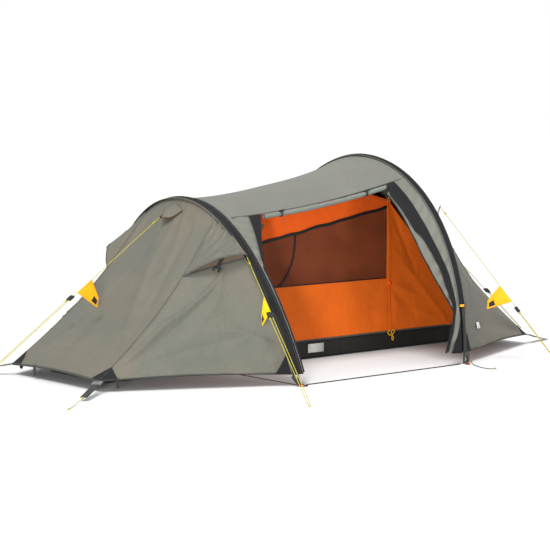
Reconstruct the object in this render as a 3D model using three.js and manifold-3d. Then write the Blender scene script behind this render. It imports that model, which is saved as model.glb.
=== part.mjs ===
// A one-person tunnel tent with two pole hoops and a side door, pitched with its fly door rolled up.
// Millimetres, +Z up. X runs along the tunnel from the low foot end (-X) to the tall head end (+X).
// The door faces -Y. The origin lies on the ground, midway between the two hoops.
import * as THREE from "three";
import { mergeVertices } from "three/addons/utils/BufferGeometryUtils.js";
import Module from "manifold-3d";

const wasm = await Module();
wasm.setup();
const { lerp } = THREE.MathUtils;
const V = (x, y, z) => new THREE.Vector3(x, y, z);

// ---------------------------------------------------------------- driving dimensions
const HOOP_SPACING = 1054;
const FOOT = { x: -HOOP_SPACING / 2, halfWidth: 775, height: 813, widthPower: 0.938, heightPower: 1.7, lean: -65, sleeveHalf: 31 };
const HEAD = { x: HOOP_SPACING / 2, halfWidth: 773, height: 992, widthPower: 1.024, heightPower: 0.929, lean: 33, sleeveHalf: 18 };
const HEM_HEIGHT = 55; // the flysheet hem hangs clear of the ground
const FOOT_CORNER = V(-1327, -350, 50);
const HEAD_CORNER = V(1311, -467, 50);
const POLE_RADIUS = 4.25;
const CLOTH = 3; // thickness given to a layer of cloth
const GAP = 1; // clearance between neighbouring pieces
const SADDLE = 40; // how far the roof sags between the hoops
const FOOT_SEAM_SAG = 45;
const HEAD_SEAM_SAG = 62;

// Shares of the hem-to-hem arc of a hoop, counted from the door side.
const DOOR_TOP = 0.366;
const FOOT_SEAM = 0.375;
const HEAD_SEAM = 0.38;
const VENT = 0.255;
const VENT_SEAM = 0.34; // share of the foot seam that a vent hood covers
const HOOD_LIFT = V(0, -54, 46); // how the strut props the middle of the hood's edge

// Inner tent
const INNER_Y = -161;
const TUB = { base: 2.2, height: 93, wall: 3 };
const SILL = 370;

// ---------------------------------------------------------------- materials
const cloth = (color) => new THREE.MeshStandardMaterial({ color, roughness: 0.85, side: THREE.DoubleSide });
const MATERIAL = {
  fly: cloth(0x8b8c7d),
  sleeve: cloth(0x323236),
  inner: cloth(0xcb5a1a),
  netting: cloth(0x5a2a18),
  floor: cloth(0x1b1917),
  webbing: cloth(0x4a4a48),
  pouch: cloth(0xf2ae12),
  cord: cloth(0xe3d04a),
  plastic: new THREE.MeshStandardMaterial({ color: 0x151515, roughness: 0.45 }),
  pole: new THREE.MeshStandardMaterial({ color: 0x8d9095, roughness: 0.3, metalness: 0.9 }),
};

const tent = new THREE.Group();
function add(name, geometry, material) {
  const mesh = new THREE.Mesh(geometry, material);
  mesh.name = name;
  tent.add(mesh);
  return mesh;
}

// ---------------------------------------------------------------- building blocks
// A closed solid from points and triangles, turned right side out.
function solid(points, triangles) {
  let volume = 0;
  for (const [a, b, c] of triangles) {
    volume += points[a].dot(new THREE.Vector3().crossVectors(points[b], points[c]));
  }
  const index = triangles.flatMap(([a, b, c]) => (volume < 0 ? [a, c, b] : [a, b, c]));
  const geometry = new THREE.BufferGeometry().setFromPoints(points);
  return geometry.setIndex(index);
}

function quad(a, b, c, d) {
  return [
    [a, b, c],
    [a, c, d],
  ];
}

// A sheet of cloth: surface(p, q) for p and q from 0 to 1, given thickness to both sides.
function sheet(surface, across, down, thickness = CLOTH) {
  const step = 1e-3;
  const top = [];
  const under = [];
  for (let j = 0; j <= down; j += 1) {
    for (let i = 0; i <= across; i += 1) {
      const p = i / across;
      const q = j / down;
      const p0 = Math.max(p - step, 0);
      const q0 = Math.max(q - step, 0);
      const alongP = surface(Math.min(p + step, 1), q).sub(surface(p0, q));
      const alongQ = surface(p, Math.min(q + step, 1)).sub(surface(p, q0));
      const normal = alongP.cross(alongQ).setLength(thickness / 2);
      const middle = surface(p, q);
      top.push(middle.clone().add(normal));
      under.push(middle.clone().sub(normal));
    }
  }
  const row = across + 1;
  const below = top.length;
  const triangles = [];
  for (let j = 0; j < down; j += 1) {
    for (let i = 0; i < across; i += 1) {
      const a = j * row + i;
      triangles.push(...quad(a, a + 1, a + 1 + row, a + row));
      triangles.push(...quad(below + a, below + a + row, below + a + 1 + row, below + a + 1));
    }
  }
  const rim = [];
  for (let i = 0; i < across; i += 1) rim.push(i);
  for (let j = 0; j < down; j += 1) rim.push(j * row + across);
  for (let i = across; i > 0; i -= 1) rim.push(down * row + i);
  for (let j = down; j > 0; j -= 1) rim.push(j * row);
  rim.forEach((a, k) => {
    const b = rim[(k + 1) % rim.length];
    triangles.push(...quad(b, a, below + a, below + b));
  });
  return solid([...top, ...under], triangles);
}

// A solid through a row of sections, each a closed loop of points; holes gives a loop of bores inside.
function loft(sections, holes) {
  const count = sections[0].length;
  const points = sections.flat();
  const triangles = [];
  const side = (first, flip) => {
    for (let k = 0; k < sections.length - 1; k += 1) {
      for (let i = 0; i < count; i += 1) {
        const a = first + k * count + i;
        const b = first + k * count + ((i + 1) % count);
        triangles.push(...(flip ? quad(a, a + count, b + count, b) : quad(a, b, b + count, a + count)));
      }
    }
  };
  side(0, false);
  const last = (sections.length - 1) * count;
  if (holes) {
    const inner = points.length;
    points.push(...holes.flat());
    side(inner, true);
    for (let i = 0; i < count; i += 1) {
      const n = (i + 1) % count;
      triangles.push(...quad(n, i, inner + i, inner + n));
      triangles.push(...quad(last + i, last + n, inner + last + n, inner + last + i));
    }
  } else {
    for (let i = 1; i < count - 1; i += 1) {
      triangles.push([0, i + 1, i], [last, last + i, last + i + 1]);
    }
  }
  return solid(points, triangles);
}

// A route that passes through its own points, so that a tube along it has a section at each of them.
class Route extends THREE.Curve {
  constructor(points) {
    super();
    this.points = points;
  }
  getPoint(t, target = new THREE.Vector3()) {
    const place = Math.min(t, 1) * (this.points.length - 1);
    const before = Math.min(Math.floor(place), this.points.length - 2);
    return target.lerpVectors(this.points[before], this.points[before + 1], place - before);
  }
  getPointAt(t, target) {
    return this.getPoint(t, target);
  }
  getTangentAt(t, target = new THREE.Vector3()) {
    const step = 0.4 / (this.points.length - 1);
    const ahead = this.getPoint(Math.min(t + step, 1));
    return target.subVectors(ahead, this.getPoint(Math.max(t - step, 0))).normalize();
  }
}

function circle(radius, sides) {
  const shape = new THREE.Shape();
  for (let i = 0; i < sides; i += 1) {
    const angle = (2 * Math.PI * (i + 0.5)) / sides;
    shape[i ? "lineTo" : "moveTo"](radius * Math.cos(angle), radius * Math.sin(angle));
  }
  return shape.closePath();
}

function closed(geometry) {
  geometry.deleteAttribute("normal");
  geometry.deleteAttribute("uv");
  return mergeVertices(geometry, 1e-3);
}

function tube(points, radius, sides = 8) {
  const steps = points.length - 1;
  return closed(new THREE.ExtrudeGeometry(circle(radius, sides), { steps, extrudePath: new Route(points) }));
}

// A flat plate: an outline in its own x and y, with holes, as thick as depth and centred on z = 0.
function plate(outline, depth, holes = []) {
  const shape = new THREE.Shape(outline.map(([x, y]) => new THREE.Vector2(x, y)));
  holes.forEach((hole) => shape.holes.push(new THREE.Path(hole.map(([x, y]) => new THREE.Vector2(x, y)))));
  const geometry = new THREE.ExtrudeGeometry(shape, { depth, bevelEnabled: false });
  return closed(geometry.translate(0, 0, -depth / 2));
}

function rectangle(x0, y0, x1, y1) {
  return [
    [x0, y0],
    [x1, y0],
    [x1, y1],
    [x0, y1],
  ];
}

// Places a geometry so that its x axis runs along one direction and its z axis leans to another.
function place(geometry, origin, along, facing) {
  const x = along.clone().normalize();
  const y = new THREE.Vector3().crossVectors(facing, x).normalize();
  const z = new THREE.Vector3().crossVectors(x, y);
  return geometry.applyMatrix4(new THREE.Matrix4().makeBasis(x, y, z).setPosition(origin));
}

// Webbing along a route of [point, direction the face looks].
function strap(route, width, thickness) {
  const sections = route.map(([point, facing], i) => {
    const before = route[Math.max(i - 1, 0)][0];
    const after = route[Math.min(i + 1, route.length - 1)][0];
    const along = after.clone().sub(before).normalize();
    const sideways = new THREE.Vector3().crossVectors(facing, along).setLength(width / 2);
    const normal = new THREE.Vector3().crossVectors(along, sideways).setLength(thickness / 2);
    const corner = (s, n) => point.clone().addScaledVector(sideways, s).addScaledVector(normal, n);
    return [corner(-1, -1), corner(1, -1), corner(1, 1), corner(-1, 1)];
  });
  return loft(sections);
}

// A value that runs straight between [place, value] pairs, given in rising order of place.
function profile(pairs, at) {
  const next = pairs.findIndex(([where]) => where >= at);
  if (next < 0) return pairs[pairs.length - 1][1];
  if (next === 0) return pairs[0][1];
  const [[a, va], [b, vb]] = [pairs[next - 1], pairs[next]];
  return lerp(va, vb, (at - a) / (b - a));
}

const mirrored = (point) => V(point.x, -point.y, point.z);
// Turns a near-side surface into its far-side twin.
const farSide = (surface) => (p, q) => mirrored(surface(p, q));
function mirrorSolid(geometry) {
  const points = [];
  const position = geometry.attributes.position;
  for (let i = 0; i < position.count; i += 1) {
    points.push(mirrored(new THREE.Vector3().fromBufferAttribute(position, i)));
  }
  const index = Array.from(geometry.index.array);
  const triangles = [];
  for (let i = 0; i < index.length; i += 3) triangles.push(index.slice(i, i + 3));
  return solid(points, triangles);
}

// ---------------------------------------------------------------- hoops
class HoopCurve extends THREE.Curve {
  constructor(hoop, nearHeight, farHeight = nearHeight) {
    super();
    this.hoop = hoop;
    const angleAt = (z) => Math.asin((z / hoop.height) ** (1 / hoop.heightPower));
    this.start = angleAt(nearHeight);
    this.end = Math.PI - angleAt(farHeight);
  }
  getPoint(t, target = new THREE.Vector3()) {
    const { x, halfWidth, height, widthPower, heightPower, lean } = this.hoop;
    const angle = lerp(this.start, this.end, t);
    const cosine = Math.cos(angle);
    const rise = Math.abs(Math.sin(angle)) ** heightPower;
    const y = -halfWidth * Math.sign(cosine) * Math.abs(cosine) ** widthPower;
    return target.set(x + lean * rise, y, height * rise);
  }
}

const footEdge = new HoopCurve(FOOT, HEM_HEIGHT);
const headEdge = new HoopCurve(HEAD, HEM_HEIGHT);
const AXIS_HEIGHT = 250; // cloth is pushed in or out from a line this far above the ground

function outward(point) {
  return V(0, point.y, point.z - AXIS_HEIGHT).normalize();
}

// The sleeve is a flat band outside the cloth with the pole running through it.
const sleeveOuter = (half) => [
  [-half, 0],
  [-9, -8],
  [9, -8],
  [half, 0],
  [9, 8],
  [-9, 8],
];
const SLEEVE_BORE = [
  [-6.6, 0],
  [-3.4, -5.6],
  [3.4, -5.6],
  [6.6, 0],
  [3.4, 5.6],
  [-3.4, 5.6],
];

function sleeve(curve, steps) {
  const section = (k, loop) => {
    const point = curve.getPointAt(k);
    const along = curve.getTangentAt(k);
    const across = V(1, 0, 0);
    const normal = new THREE.Vector3().crossVectors(across, along).normalize();
    if (normal.dot(outward(point)) < 0) normal.negate();
    return loop.map(([a, n]) => point.clone().addScaledVector(across, a).addScaledVector(normal, n));
  };
  const places = Array.from({ length: steps + 1 }, (_, k) => k / steps);
  return loft(
    places.map((k) => section(k, sleeveOuter(curve.hoop.sleeveHalf))),
    places.map((k) => section(k, SLEEVE_BORE)),
  );
}

const SLEEVE_END = 50;
const HEAD_SLEEVE_NEAR_END = 282; // the tall hoop's sleeve stops short and leaves the pole bare
const SLEEVE_STEPS = 26;
const footSleeve = new HoopCurve(FOOT, SLEEVE_END);
const headSleeve = new HoopCurve(HEAD, HEAD_SLEEVE_NEAR_END, SLEEVE_END);
add("foot_pole_sleeve", sleeve(footSleeve, SLEEVE_STEPS), MATERIAL.sleeve);
add("head_pole_sleeve", sleeve(headSleeve, SLEEVE_STEPS), MATERIAL.sleeve);

// A pole follows the middle of its sleeve and stands on the ground at both tips.
function pole(curve, nearHeights) {
  const { hoop } = curve;
  const tip = (side) => V(hoop.x, side * hoop.halfWidth, 1.3);
  const bare = nearHeights.map((z) => new HoopCurve(hoop, z).getPointAt(0));
  return tube([tip(-1), ...bare, ...curve.getSpacedPoints(SLEEVE_STEPS), tip(1)], POLE_RADIUS);
}
add("foot_pole", pole(footSleeve, []), MATERIAL.pole);
add("head_pole", pole(headSleeve, [50, 110, 170, 225]), MATERIAL.pole);

// ---------------------------------------------------------------- flysheet
const besideSleeve = (hoop) => hoop.sleeveHalf + 2.5; // where cloth starts, from the plane of a hoop
const FIRST_U = besideSleeve(FOOT) / HOOP_SPACING;
const LAST_U = 1 - besideSleeve(HEAD) / HOOP_SPACING;

// The roof over the tunnel: u runs from hoop to hoop, s along the arc from the door side.
function roof(u, s, lift = 0) {
  const point = footEdge.getPointAt(s).lerp(headEdge.getPointAt(s), u);
  return point.addScaledVector(outward(point), lift - SADDLE * 4 * u * (1 - u));
}

const roofSheet = (p, q) => roof(lerp(FIRST_U, LAST_U, p), lerp(DOOR_TOP, 1, q));
add("fly_roof", sheet(roofSheet, 8, 14), MATERIAL.fly);

// Strips of flysheet stay between each hoop and its door zip. Pairs are [s, u].
const STRIP_TOP = DOOR_TOP - 0.002;
const FOOT_STRIP_EDGE = [
  [0, 0.04],
  [0.226, 0.04],
  [0.276, 0.085],
  [0.317, 0.136],
  [STRIP_TOP, 0.198],
];
const HEAD_STRIP_EDGE = [
  [0, 0.897],
  [0.027, 0.918],
  [0.051, 0.94],
  [0.075, 0.955],
  [0.102, 0.924],
  [0.141, 0.885],
  [0.193, 0.855],
  [0.246, 0.847],
  [0.343, 0.847],
  [0.351, 0.876],
  [STRIP_TOP, 0.876],
];
const footStrip = (p, q) => {
  const s = lerp(0, STRIP_TOP, q);
  return roof(lerp(FIRST_U, profile(FOOT_STRIP_EDGE, s), p), s);
};
const headStrip = (p, q) => {
  const s = lerp(0, STRIP_TOP, q);
  return roof(lerp(profile(HEAD_STRIP_EDGE, s), LAST_U, p), s);
};
add("fly_door_strip_foot", sheet(footStrip, 2, 14), MATERIAL.fly);
add("fly_door_strip_head", sheet(headStrip, 2, 24), MATERIAL.fly);

// Dark storm flaps cover the zips, outside the strips.
const FLAP_LIFT = CLOTH + GAP;
const FLAP_THICKNESS = 2;
const FOOT_FLAP = {
  low: 0.245,
  high: 0.36,
  left: [
    [0.245, 0.044],
    [0.277, 0.068],
    [0.327, 0.106],
    [0.36, 0.132],
  ],
  right: [
    [0.245, 0.056],
    [0.276, 0.085],
    [0.317, 0.136],
    [0.36, 0.192],
  ],
};
const HEAD_FLAP = {
  low: 0.004,
  high: 0.36,
  left: [
    [0.004, 0.893],
    [0.051, 0.931],
    [0.075, 0.949],
    [0.094, 0.943],
    [0.123, 0.927],
    [0.153, 0.92],
    [0.18, 0.906],
    [0.226, 0.883],
    [0.243, 0.862],
    [0.331, 0.851],
    [0.345, 0.862],
    [0.352, 0.876],
    [0.36, 0.878],
  ],
  right: [
    [0.004, 0.906],
    [0.038, 0.937],
    [0.086, 0.965],
    [0.114, 0.962],
    [0.147, 0.956],
    [0.177, 0.943],
    [0.213, 0.93],
    [0.269, 0.921],
    [0.36, 0.919],
  ],
};
function flap({ low, high, left, right }) {
  return (p, q) => {
    const s = lerp(low, high, q);
    return roof(lerp(profile(left, s), profile(right, s), p), s, FLAP_LIFT);
  };
}
add("storm_flap_foot", sheet(flap(FOOT_FLAP), 2, 8, FLAP_THICKNESS), MATERIAL.sleeve);
add("storm_flap_head", sheet(flap(HEAD_FLAP), 2, 24, FLAP_THICKNESS), MATERIAL.sleeve);

// The door is rolled up along the top of the opening.
const ROLL = { from: 0.212, to: 0.866, radius: 13, drop: 0.0085 };
const rollCentre = (u) => roof(u, DOOR_TOP - ROLL.drop);
const rollStations = Array.from({ length: 11 }, (_, i) => rollCentre(lerp(ROLL.from, ROLL.to, i / 10)));
add("rolled_door", tube(rollStations, ROLL.radius, 10), MATERIAL.fly);

// End panels: a seam runs from each hoop down to a pegged corner, and cloth hangs slack between.
function makeEnd({ edge, corner, seamShare, seamSag, side }) {
  const offset = V(side * besideSleeve(edge.hoop), 0, 0);
  const inward = V(-side, 0, -1).normalize();
  const hoopAt = (s) => edge.getPointAt(s).add(offset);
  const sagged = (point, q) => point.addScaledVector(inward, seamSag * Math.sin(Math.PI * q));
  const seam = (q) => sagged(hoopAt(seamShare).lerp(corner, q), q);
  const hemRise = 12;
  const raised = (point, p, q) => point.setZ(point.z + hemRise * q * q * Math.sin(Math.PI * p));
  const farCorner = mirrored(corner);
  const centre = (p, q) => {
    const point = hoopAt(lerp(seamShare, 1 - seamShare, p)).lerp(corner.clone().lerp(farCorner, p), q);
    return raised(sagged(point, q), p, q);
  };
  // Cloth between the seam and the hoop, from a share of each at the top down to the hem.
  const sidePanel = (seamTop, hoopTop) => (p, q) => {
    const left = seam(lerp(seamTop, 1, q));
    return raised(left.lerp(hoopAt(lerp(hoopTop, 0, q)), p), p, q);
  };
  return { hoopAt, seam, centre, sidePanel };
}
const footEnd = makeEnd({
  edge: footEdge,
  corner: FOOT_CORNER,
  seamShare: FOOT_SEAM,
  seamSag: FOOT_SEAM_SAG,
  side: -1,
});
const headEnd = makeEnd({
  edge: headEdge,
  corner: HEAD_CORNER,
  seamShare: HEAD_SEAM,
  seamSag: HEAD_SEAM_SAG,
  side: 1,
});
const SEAM_GAP = 0.008; // share of a panel's width left open at a seam
const within = (surface, low, high) => (p, q) => surface(lerp(low, high, p), q);

add("fly_foot_centre_panel", sheet(within(footEnd.centre, SEAM_GAP, 1 - SEAM_GAP), 8, 8), MATERIAL.fly);
add("fly_head_centre_panel", sheet(within(headEnd.centre, SEAM_GAP, 1 - SEAM_GAP), 8, 8), MATERIAL.fly);
const footSide = within(footEnd.sidePanel(VENT_SEAM + 0.02, VENT - 0.01), SEAM_GAP, 1);
const headSide = within(headEnd.sidePanel(0.06, HEAD_SEAM - 0.03), SEAM_GAP * 2, 1);
add("fly_foot_near_panel", sheet(footSide, 7, 6), MATERIAL.fly);
add("fly_foot_far_panel", sheet(farSide(footSide), 7, 6), MATERIAL.fly);
add("fly_head_near_panel", sheet(headSide, 6, 8), MATERIAL.fly);
add("fly_head_far_panel", sheet(farSide(headSide), 6, 8), MATERIAL.fly);

// Vent hoods: the cloth above each vent is lifted off the side panel by a strut.
function hoodSurface(p, q) {
  const share = lerp(0.12, 1, q);
  const left = footEnd.seam(VENT_SEAM * share);
  const right = footEnd.hoopAt(lerp(FOOT_SEAM, VENT, share));
  const lift = Math.sin(Math.PI * p) * share * share;
  return left.lerp(right, lerp(0.02, 1, p)).addScaledVector(HOOD_LIFT, lift);
}
add("vent_hood_near", sheet(hoodSurface, 6, 5), MATERIAL.fly);
add("vent_hood_far", sheet(farSide(hoodSurface), 6, 5), MATERIAL.fly);

// Each strut hangs from the middle of its hood's edge and hooks onto the panel below.
const strutTop = hoodSurface(0.5, 1).add(V(0, -1, -4));
const strutFoot = footSide(0.5, 0.02).add(V(0, -16, 8));
const strutAlong = strutFoot.clone().sub(strutTop);
const strutLength = strutAlong.length();
const STRUT_OUTLINE = [
  [0, -6],
  [strutLength - 24, -6],
  [strutLength - 24, -17],
  [strutLength, -17],
  [strutLength, -9],
  [strutLength - 15, -9],
  [strutLength - 15, 9],
  [strutLength, 9],
  [strutLength, 17],
  [strutLength - 24, 17],
  [strutLength - 24, 6],
  [0, 6],
];
const strut = place(plate(STRUT_OUTLINE, 3), strutTop, strutAlong, V(-0.2, -1, 0.4));
add("vent_strut_near", strut, MATERIAL.plastic);
add("vent_strut_far", mirrorSolid(strut), MATERIAL.plastic);

// ---------------------------------------------------------------- door hardware
function doorToggle(name, u) {
  const centre = rollCentre(u);
  const out = outward(centre);
  const ahead = rollCentre(u + 0.01).sub(centre);
  const bar = closed(new THREE.CylinderGeometry(4, 4, 27, 10).rotateZ(Math.PI / 2));
  add(name, place(bar, centre.addScaledVector(out, ROLL.radius + 6), ahead, out), MATERIAL.plastic);
}
doorToggle("door_toggle_foot", 0.3);
doorToggle("door_toggle_head", 0.76);

// Zip sliders rest at the top of each door zip, just inside the strip's edge.
const SLIDER_OUTLINE = [
  [0, -3],
  [6, -5],
  [12, -5],
  [12, -2],
  [38, -2],
  [38, 2],
  [12, 2],
  [12, 5],
  [6, 5],
  [0, 3],
];
function flySlider(name, edgePairs, into) {
  const high = DOOR_TOP - 0.03;
  const low = high - 0.05;
  const top = roof(profile(edgePairs, high) + into, high);
  const bottom = roof(profile(edgePairs, low) + into, low);
  add(name, place(plate(SLIDER_OUTLINE, 4), top, bottom.sub(top), outward(top)), MATERIAL.plastic);
}
flySlider("fly_zip_slider_foot", FOOT_STRIP_EDGE, 0.012);
flySlider("fly_zip_slider_head", HEAD_STRIP_EDGE, -0.012);

// ---------------------------------------------------------------- inner tent
function inset(points, distance) {
  return points.map((here, i) => {
    const before = points[(i + points.length - 1) % points.length];
    const after = points[(i + 1) % points.length];
    const normal = (a, b) => new THREE.Vector2(a[1] - b[1], b[0] - a[0]).normalize();
    const n1 = normal(before, here);
    const n2 = normal(here, after);
    const shift = n1.clone().add(n2).multiplyScalar(distance / (1 + n1.dot(n2)));
    return [here[0] + shift.x, here[1] + shift.y];
  });
}

function toManifold(geometry) {
  const merged = closed(geometry);
  const vertProperties = new Float32Array(merged.attributes.position.array);
  const triVerts = new Uint32Array(merged.index.array);
  return new wasm.Manifold(new wasm.Mesh({ numProp: 3, vertProperties, triVerts }));
}

function fromManifold(made) {
  const mesh = made.getMesh();
  const geometry = new THREE.BufferGeometry();
  geometry.setAttribute("position", new THREE.BufferAttribute(mesh.vertProperties, 3));
  return geometry.setIndex(new THREE.BufferAttribute(mesh.triVerts, 1));
}

// The floor is a tray: straight under the door, drawn in towards both ends on the far side.
const FLOOR = [
  [-1150, INNER_Y],
  [1130, INNER_Y],
  [1130, 400],
  [490, 650],
  [-480, 640],
  [-1150, 300],
];
const tubOuter = plate(FLOOR, TUB.height - TUB.base).translate(0, 0, (TUB.height + TUB.base) / 2);
const hollow = plate(inset(FLOOR, TUB.wall), TUB.height).translate(0, 0, TUB.height / 2 + TUB.base + TUB.wall);
const tub = toManifold(tubOuter).subtract(toManifold(hollow));
add("inner_floor_tub", fromManifold(tub), MATERIAL.floor);

// The wall behind the door stands upright; its top edge follows the roof. Pairs are [x, z].
const WALL_TOP = [
  [-1146, 128],
  [-560, 690],
  [-240, 750],
  [470, 800],
  [600, 768],
  [1126, 222],
];
const WALL_THICKNESS = 2;
const wallOutline = [[-1146, TUB.height + GAP], ...WALL_TOP, [1126, TUB.height + GAP]].reverse();
const MESH_WINDOW = [
  [-450, SILL],
  [590, SILL],
  [590, 732],
  [-450, 554],
];
const upright = (geometry) => geometry.rotateX(Math.PI / 2).translate(0, INNER_Y + WALL_THICKNESS / 2, 0);
add("inner_near_wall", upright(plate(wallOutline, WALL_THICKNESS, [MESH_WINDOW])), MATERIAL.inner);
add("inner_mesh_door", upright(plate(inset(MESH_WINDOW, GAP), WALL_THICKNESS)), MATERIAL.netting);

// The inner roof arches from the top of that wall to the far edge of the floor.
const bezier = (a, b, c, d) => new THREE.CubicBezierCurve3(a, b, c, d);
const ROOF_START_Y = INNER_Y + WALL_THICKNESS + CLOTH;
function innerArch(x) {
  const rise = (x + 560) / 1160;
  const farY = lerp(638, 648, rise);
  return bezier(
    V(x, ROOF_START_Y, profile(WALL_TOP, x) - 4),
    V(x, lerp(150, 200, rise), lerp(765, 900, rise)),
    V(x, lerp(560, 630, rise), lerp(560, 660, rise)),
    V(x, farY, TUB.height + 3),
  );
}
add(
  "inner_roof",
  sheet((p, q) => innerArch(lerp(-558, 598, p)).getPoint(q), 8, 10),
  MATERIAL.inner,
);

// The ends slope from the arch to the floor's end walls.
function innerEnd(x, base) {
  const arch = innerArch(x);
  const foot = new THREE.CurvePath();
  base.slice(1).forEach((point, i) => foot.add(new THREE.LineCurve3(base[i], point)));
  return (p, q) => arch.getPoint(p).lerp(foot.getPointAt(p), q);
}
const tubTop = TUB.height + 3;
const footBase = [V(-1143, ROOF_START_Y, 124), V(-1147, 298, tubTop), V(-562, 636, tubTop)];
const headBase = [V(1123, ROOF_START_Y, 218), V(1127, 398, tubTop), V(602, 640, tubTop)];
add("inner_foot_end", sheet(innerEnd(-562, footBase), 10, 5), MATERIAL.inner);
add("inner_head_end", sheet(innerEnd(602, headBase), 10, 5), MATERIAL.inner);

const INNER_SLIDER_X = -128;
const innerSlider = plate(SLIDER_OUTLINE, 4);
const sliderSpot = V(INNER_SLIDER_X, INNER_Y - 3.5, SILL + 2);
add("inner_door_slider", place(innerSlider, sliderSpot, V(1, 0, 0), V(0, -1, 0)), MATERIAL.plastic);

// ---------------------------------------------------------------- webbing, feet and corners
const UP = V(0, 0, 1);
const STRAP = { width: 20, thickness: 2 };

// A strap holds each hoop's foot down to its peg point; its loose tail lies on the ground.
function footStrap(hoop, side) {
  const x = hoop.x - Math.sign(hoop.x) * -6;
  const out = V(0, side, 0);
  return strap(
    [
      [V(x + Math.sign(hoop.x) * 34, side * (hoop.halfWidth - 8), HEM_HEIGHT - 6), out],
      [V(x + Math.sign(hoop.x) * 12, side * (hoop.halfWidth + 8), 14), out],
      [V(x + Math.sign(hoop.x) * 2, side * (hoop.halfWidth + 14), 6), V(0, side, 1)],
      [V(x - Math.sign(hoop.x) * 16, side * (hoop.halfWidth + 36), 2.6), UP],
    ],
    STRAP.width,
    STRAP.thickness,
  );
}
for (const [end, hoop] of [
  ["foot", FOOT],
  ["head", HEAD],
]) {
  add(`foot_strap_${end}_near`, footStrap(hoop, -1), MATERIAL.webbing);
  add(`foot_strap_${end}_far`, footStrap(hoop, 1), MATERIAL.webbing);
}
// A tape under the tent keeps the two feet of the low hoop at their distance.
const baseTape = new THREE.BoxGeometry(8, 2 * (FOOT.halfWidth - 9), 1.6).translate(FOOT.x, 0, 0.8);
add("foot_base_tape", closed(baseTape), MATERIAL.webbing);
// A tape across the doorway keeps the two hoops apart while the door is open.
const spacer = new THREE.BoxGeometry(HOOP_SPACING - 64, 6, 1.6).translate(0, -FOOT.halfWidth - 3, 0.8);
add("near_spacer_tape", closed(spacer), MATERIAL.webbing);

// Corners: a ladder-lock buckle grips the webbing that runs down to the peg.
const BUCKLE = { start: 4, length: 42, width: 42, thickness: 4 };
const BUCKLE_HOLES = [rectangle(6, -15.5, 16, 15.5), rectangle(23, -14.5, 34, 14.5)];
function corner(name, point, direction, length, endHeight) {
  const flat = direction.clone().normalize();
  const at = (distance, z) => point.clone().addScaledVector(flat, distance).setZ(z);
  const slope = at(length, endHeight).sub(point).normalize();
  const facing = new THREE.Vector3().crossVectors(V(-flat.y, flat.x, 0), slope).multiplyScalar(-1);
  const frame = plate(rectangle(0, -BUCKLE.width / 2, BUCKLE.length, BUCKLE.width / 2), BUCKLE.thickness, BUCKLE_HOLES);
  const buckle = place(frame, point.clone().addScaledVector(slope, BUCKLE.start), slope, facing);
  const start = BUCKLE.start + BUCKLE.length + 2;
  const route = [start, lerp(start, length, 0.5), length].map((distance) => {
    return [point.clone().addScaledVector(slope, distance), facing];
  });
  const webbing = strap(route, STRAP.width + 10, STRAP.thickness);
  add(`corner_buckle_${name}_near`, buckle, MATERIAL.plastic);
  add(`corner_buckle_${name}_far`, mirrorSolid(buckle), MATERIAL.plastic);
  add(`corner_strap_${name}_near`, webbing, MATERIAL.webbing);
  add(`corner_strap_${name}_far`, mirrorSolid(webbing), MATERIAL.webbing);
}
corner("foot", FOOT_CORNER, V(-0.778, -0.628, 0), 232, 16);
corner("head", HEAD_CORNER, V(0.98, 0.2, 0), 209.4, 2.5);

// ---------------------------------------------------------------- guylines
const CORD_RADIUS = 1.5;

// Each line runs from the tent through its tensioner, round the peg point and back to the tensioner.
const GUYLINES = {
  foot_centre: {
    start: V(-728, 0, 726),
    peg: V(-1778, 0, 2),
    flag: [0.37, 0.446],
    flagLean: 0.5,
    tensioner: 0.478,
  },
  foot_near: {
    start: V(-604, -492, 566),
    peg: V(-862, -1225, 2),
    flag: [0.285, 0.385],
    flagLean: 0.4,
    tensioner: 0.41,
  },
  head_near: {
    start: V(584, -546, 752),
    peg: V(849, -1100, 2),
    flag: [0.506, 0.606],
    flagLean: 1,
    tensioner: 0.655,
  },
  head_centre: {
    start: V(630, 0, 943),
    peg: V(1785, 0, 2),
    tensioner: 0.757,
  },
};
const STRANDS_APART = { tensioner: 15, peg: 5 };

function guylineFrame({ start, peg }) {
  const along = peg.clone().sub(start);
  const length = along.length();
  along.normalize();
  const sideways = new THREE.Vector3().crossVectors(along, UP).normalize();
  const above = new THREE.Vector3().crossVectors(sideways, along).normalize();
  const at = (share, side = 0) => start.clone().lerp(peg, share).addScaledVector(sideways, side);
  return { along, length, sideways, above, at };
}

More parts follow.
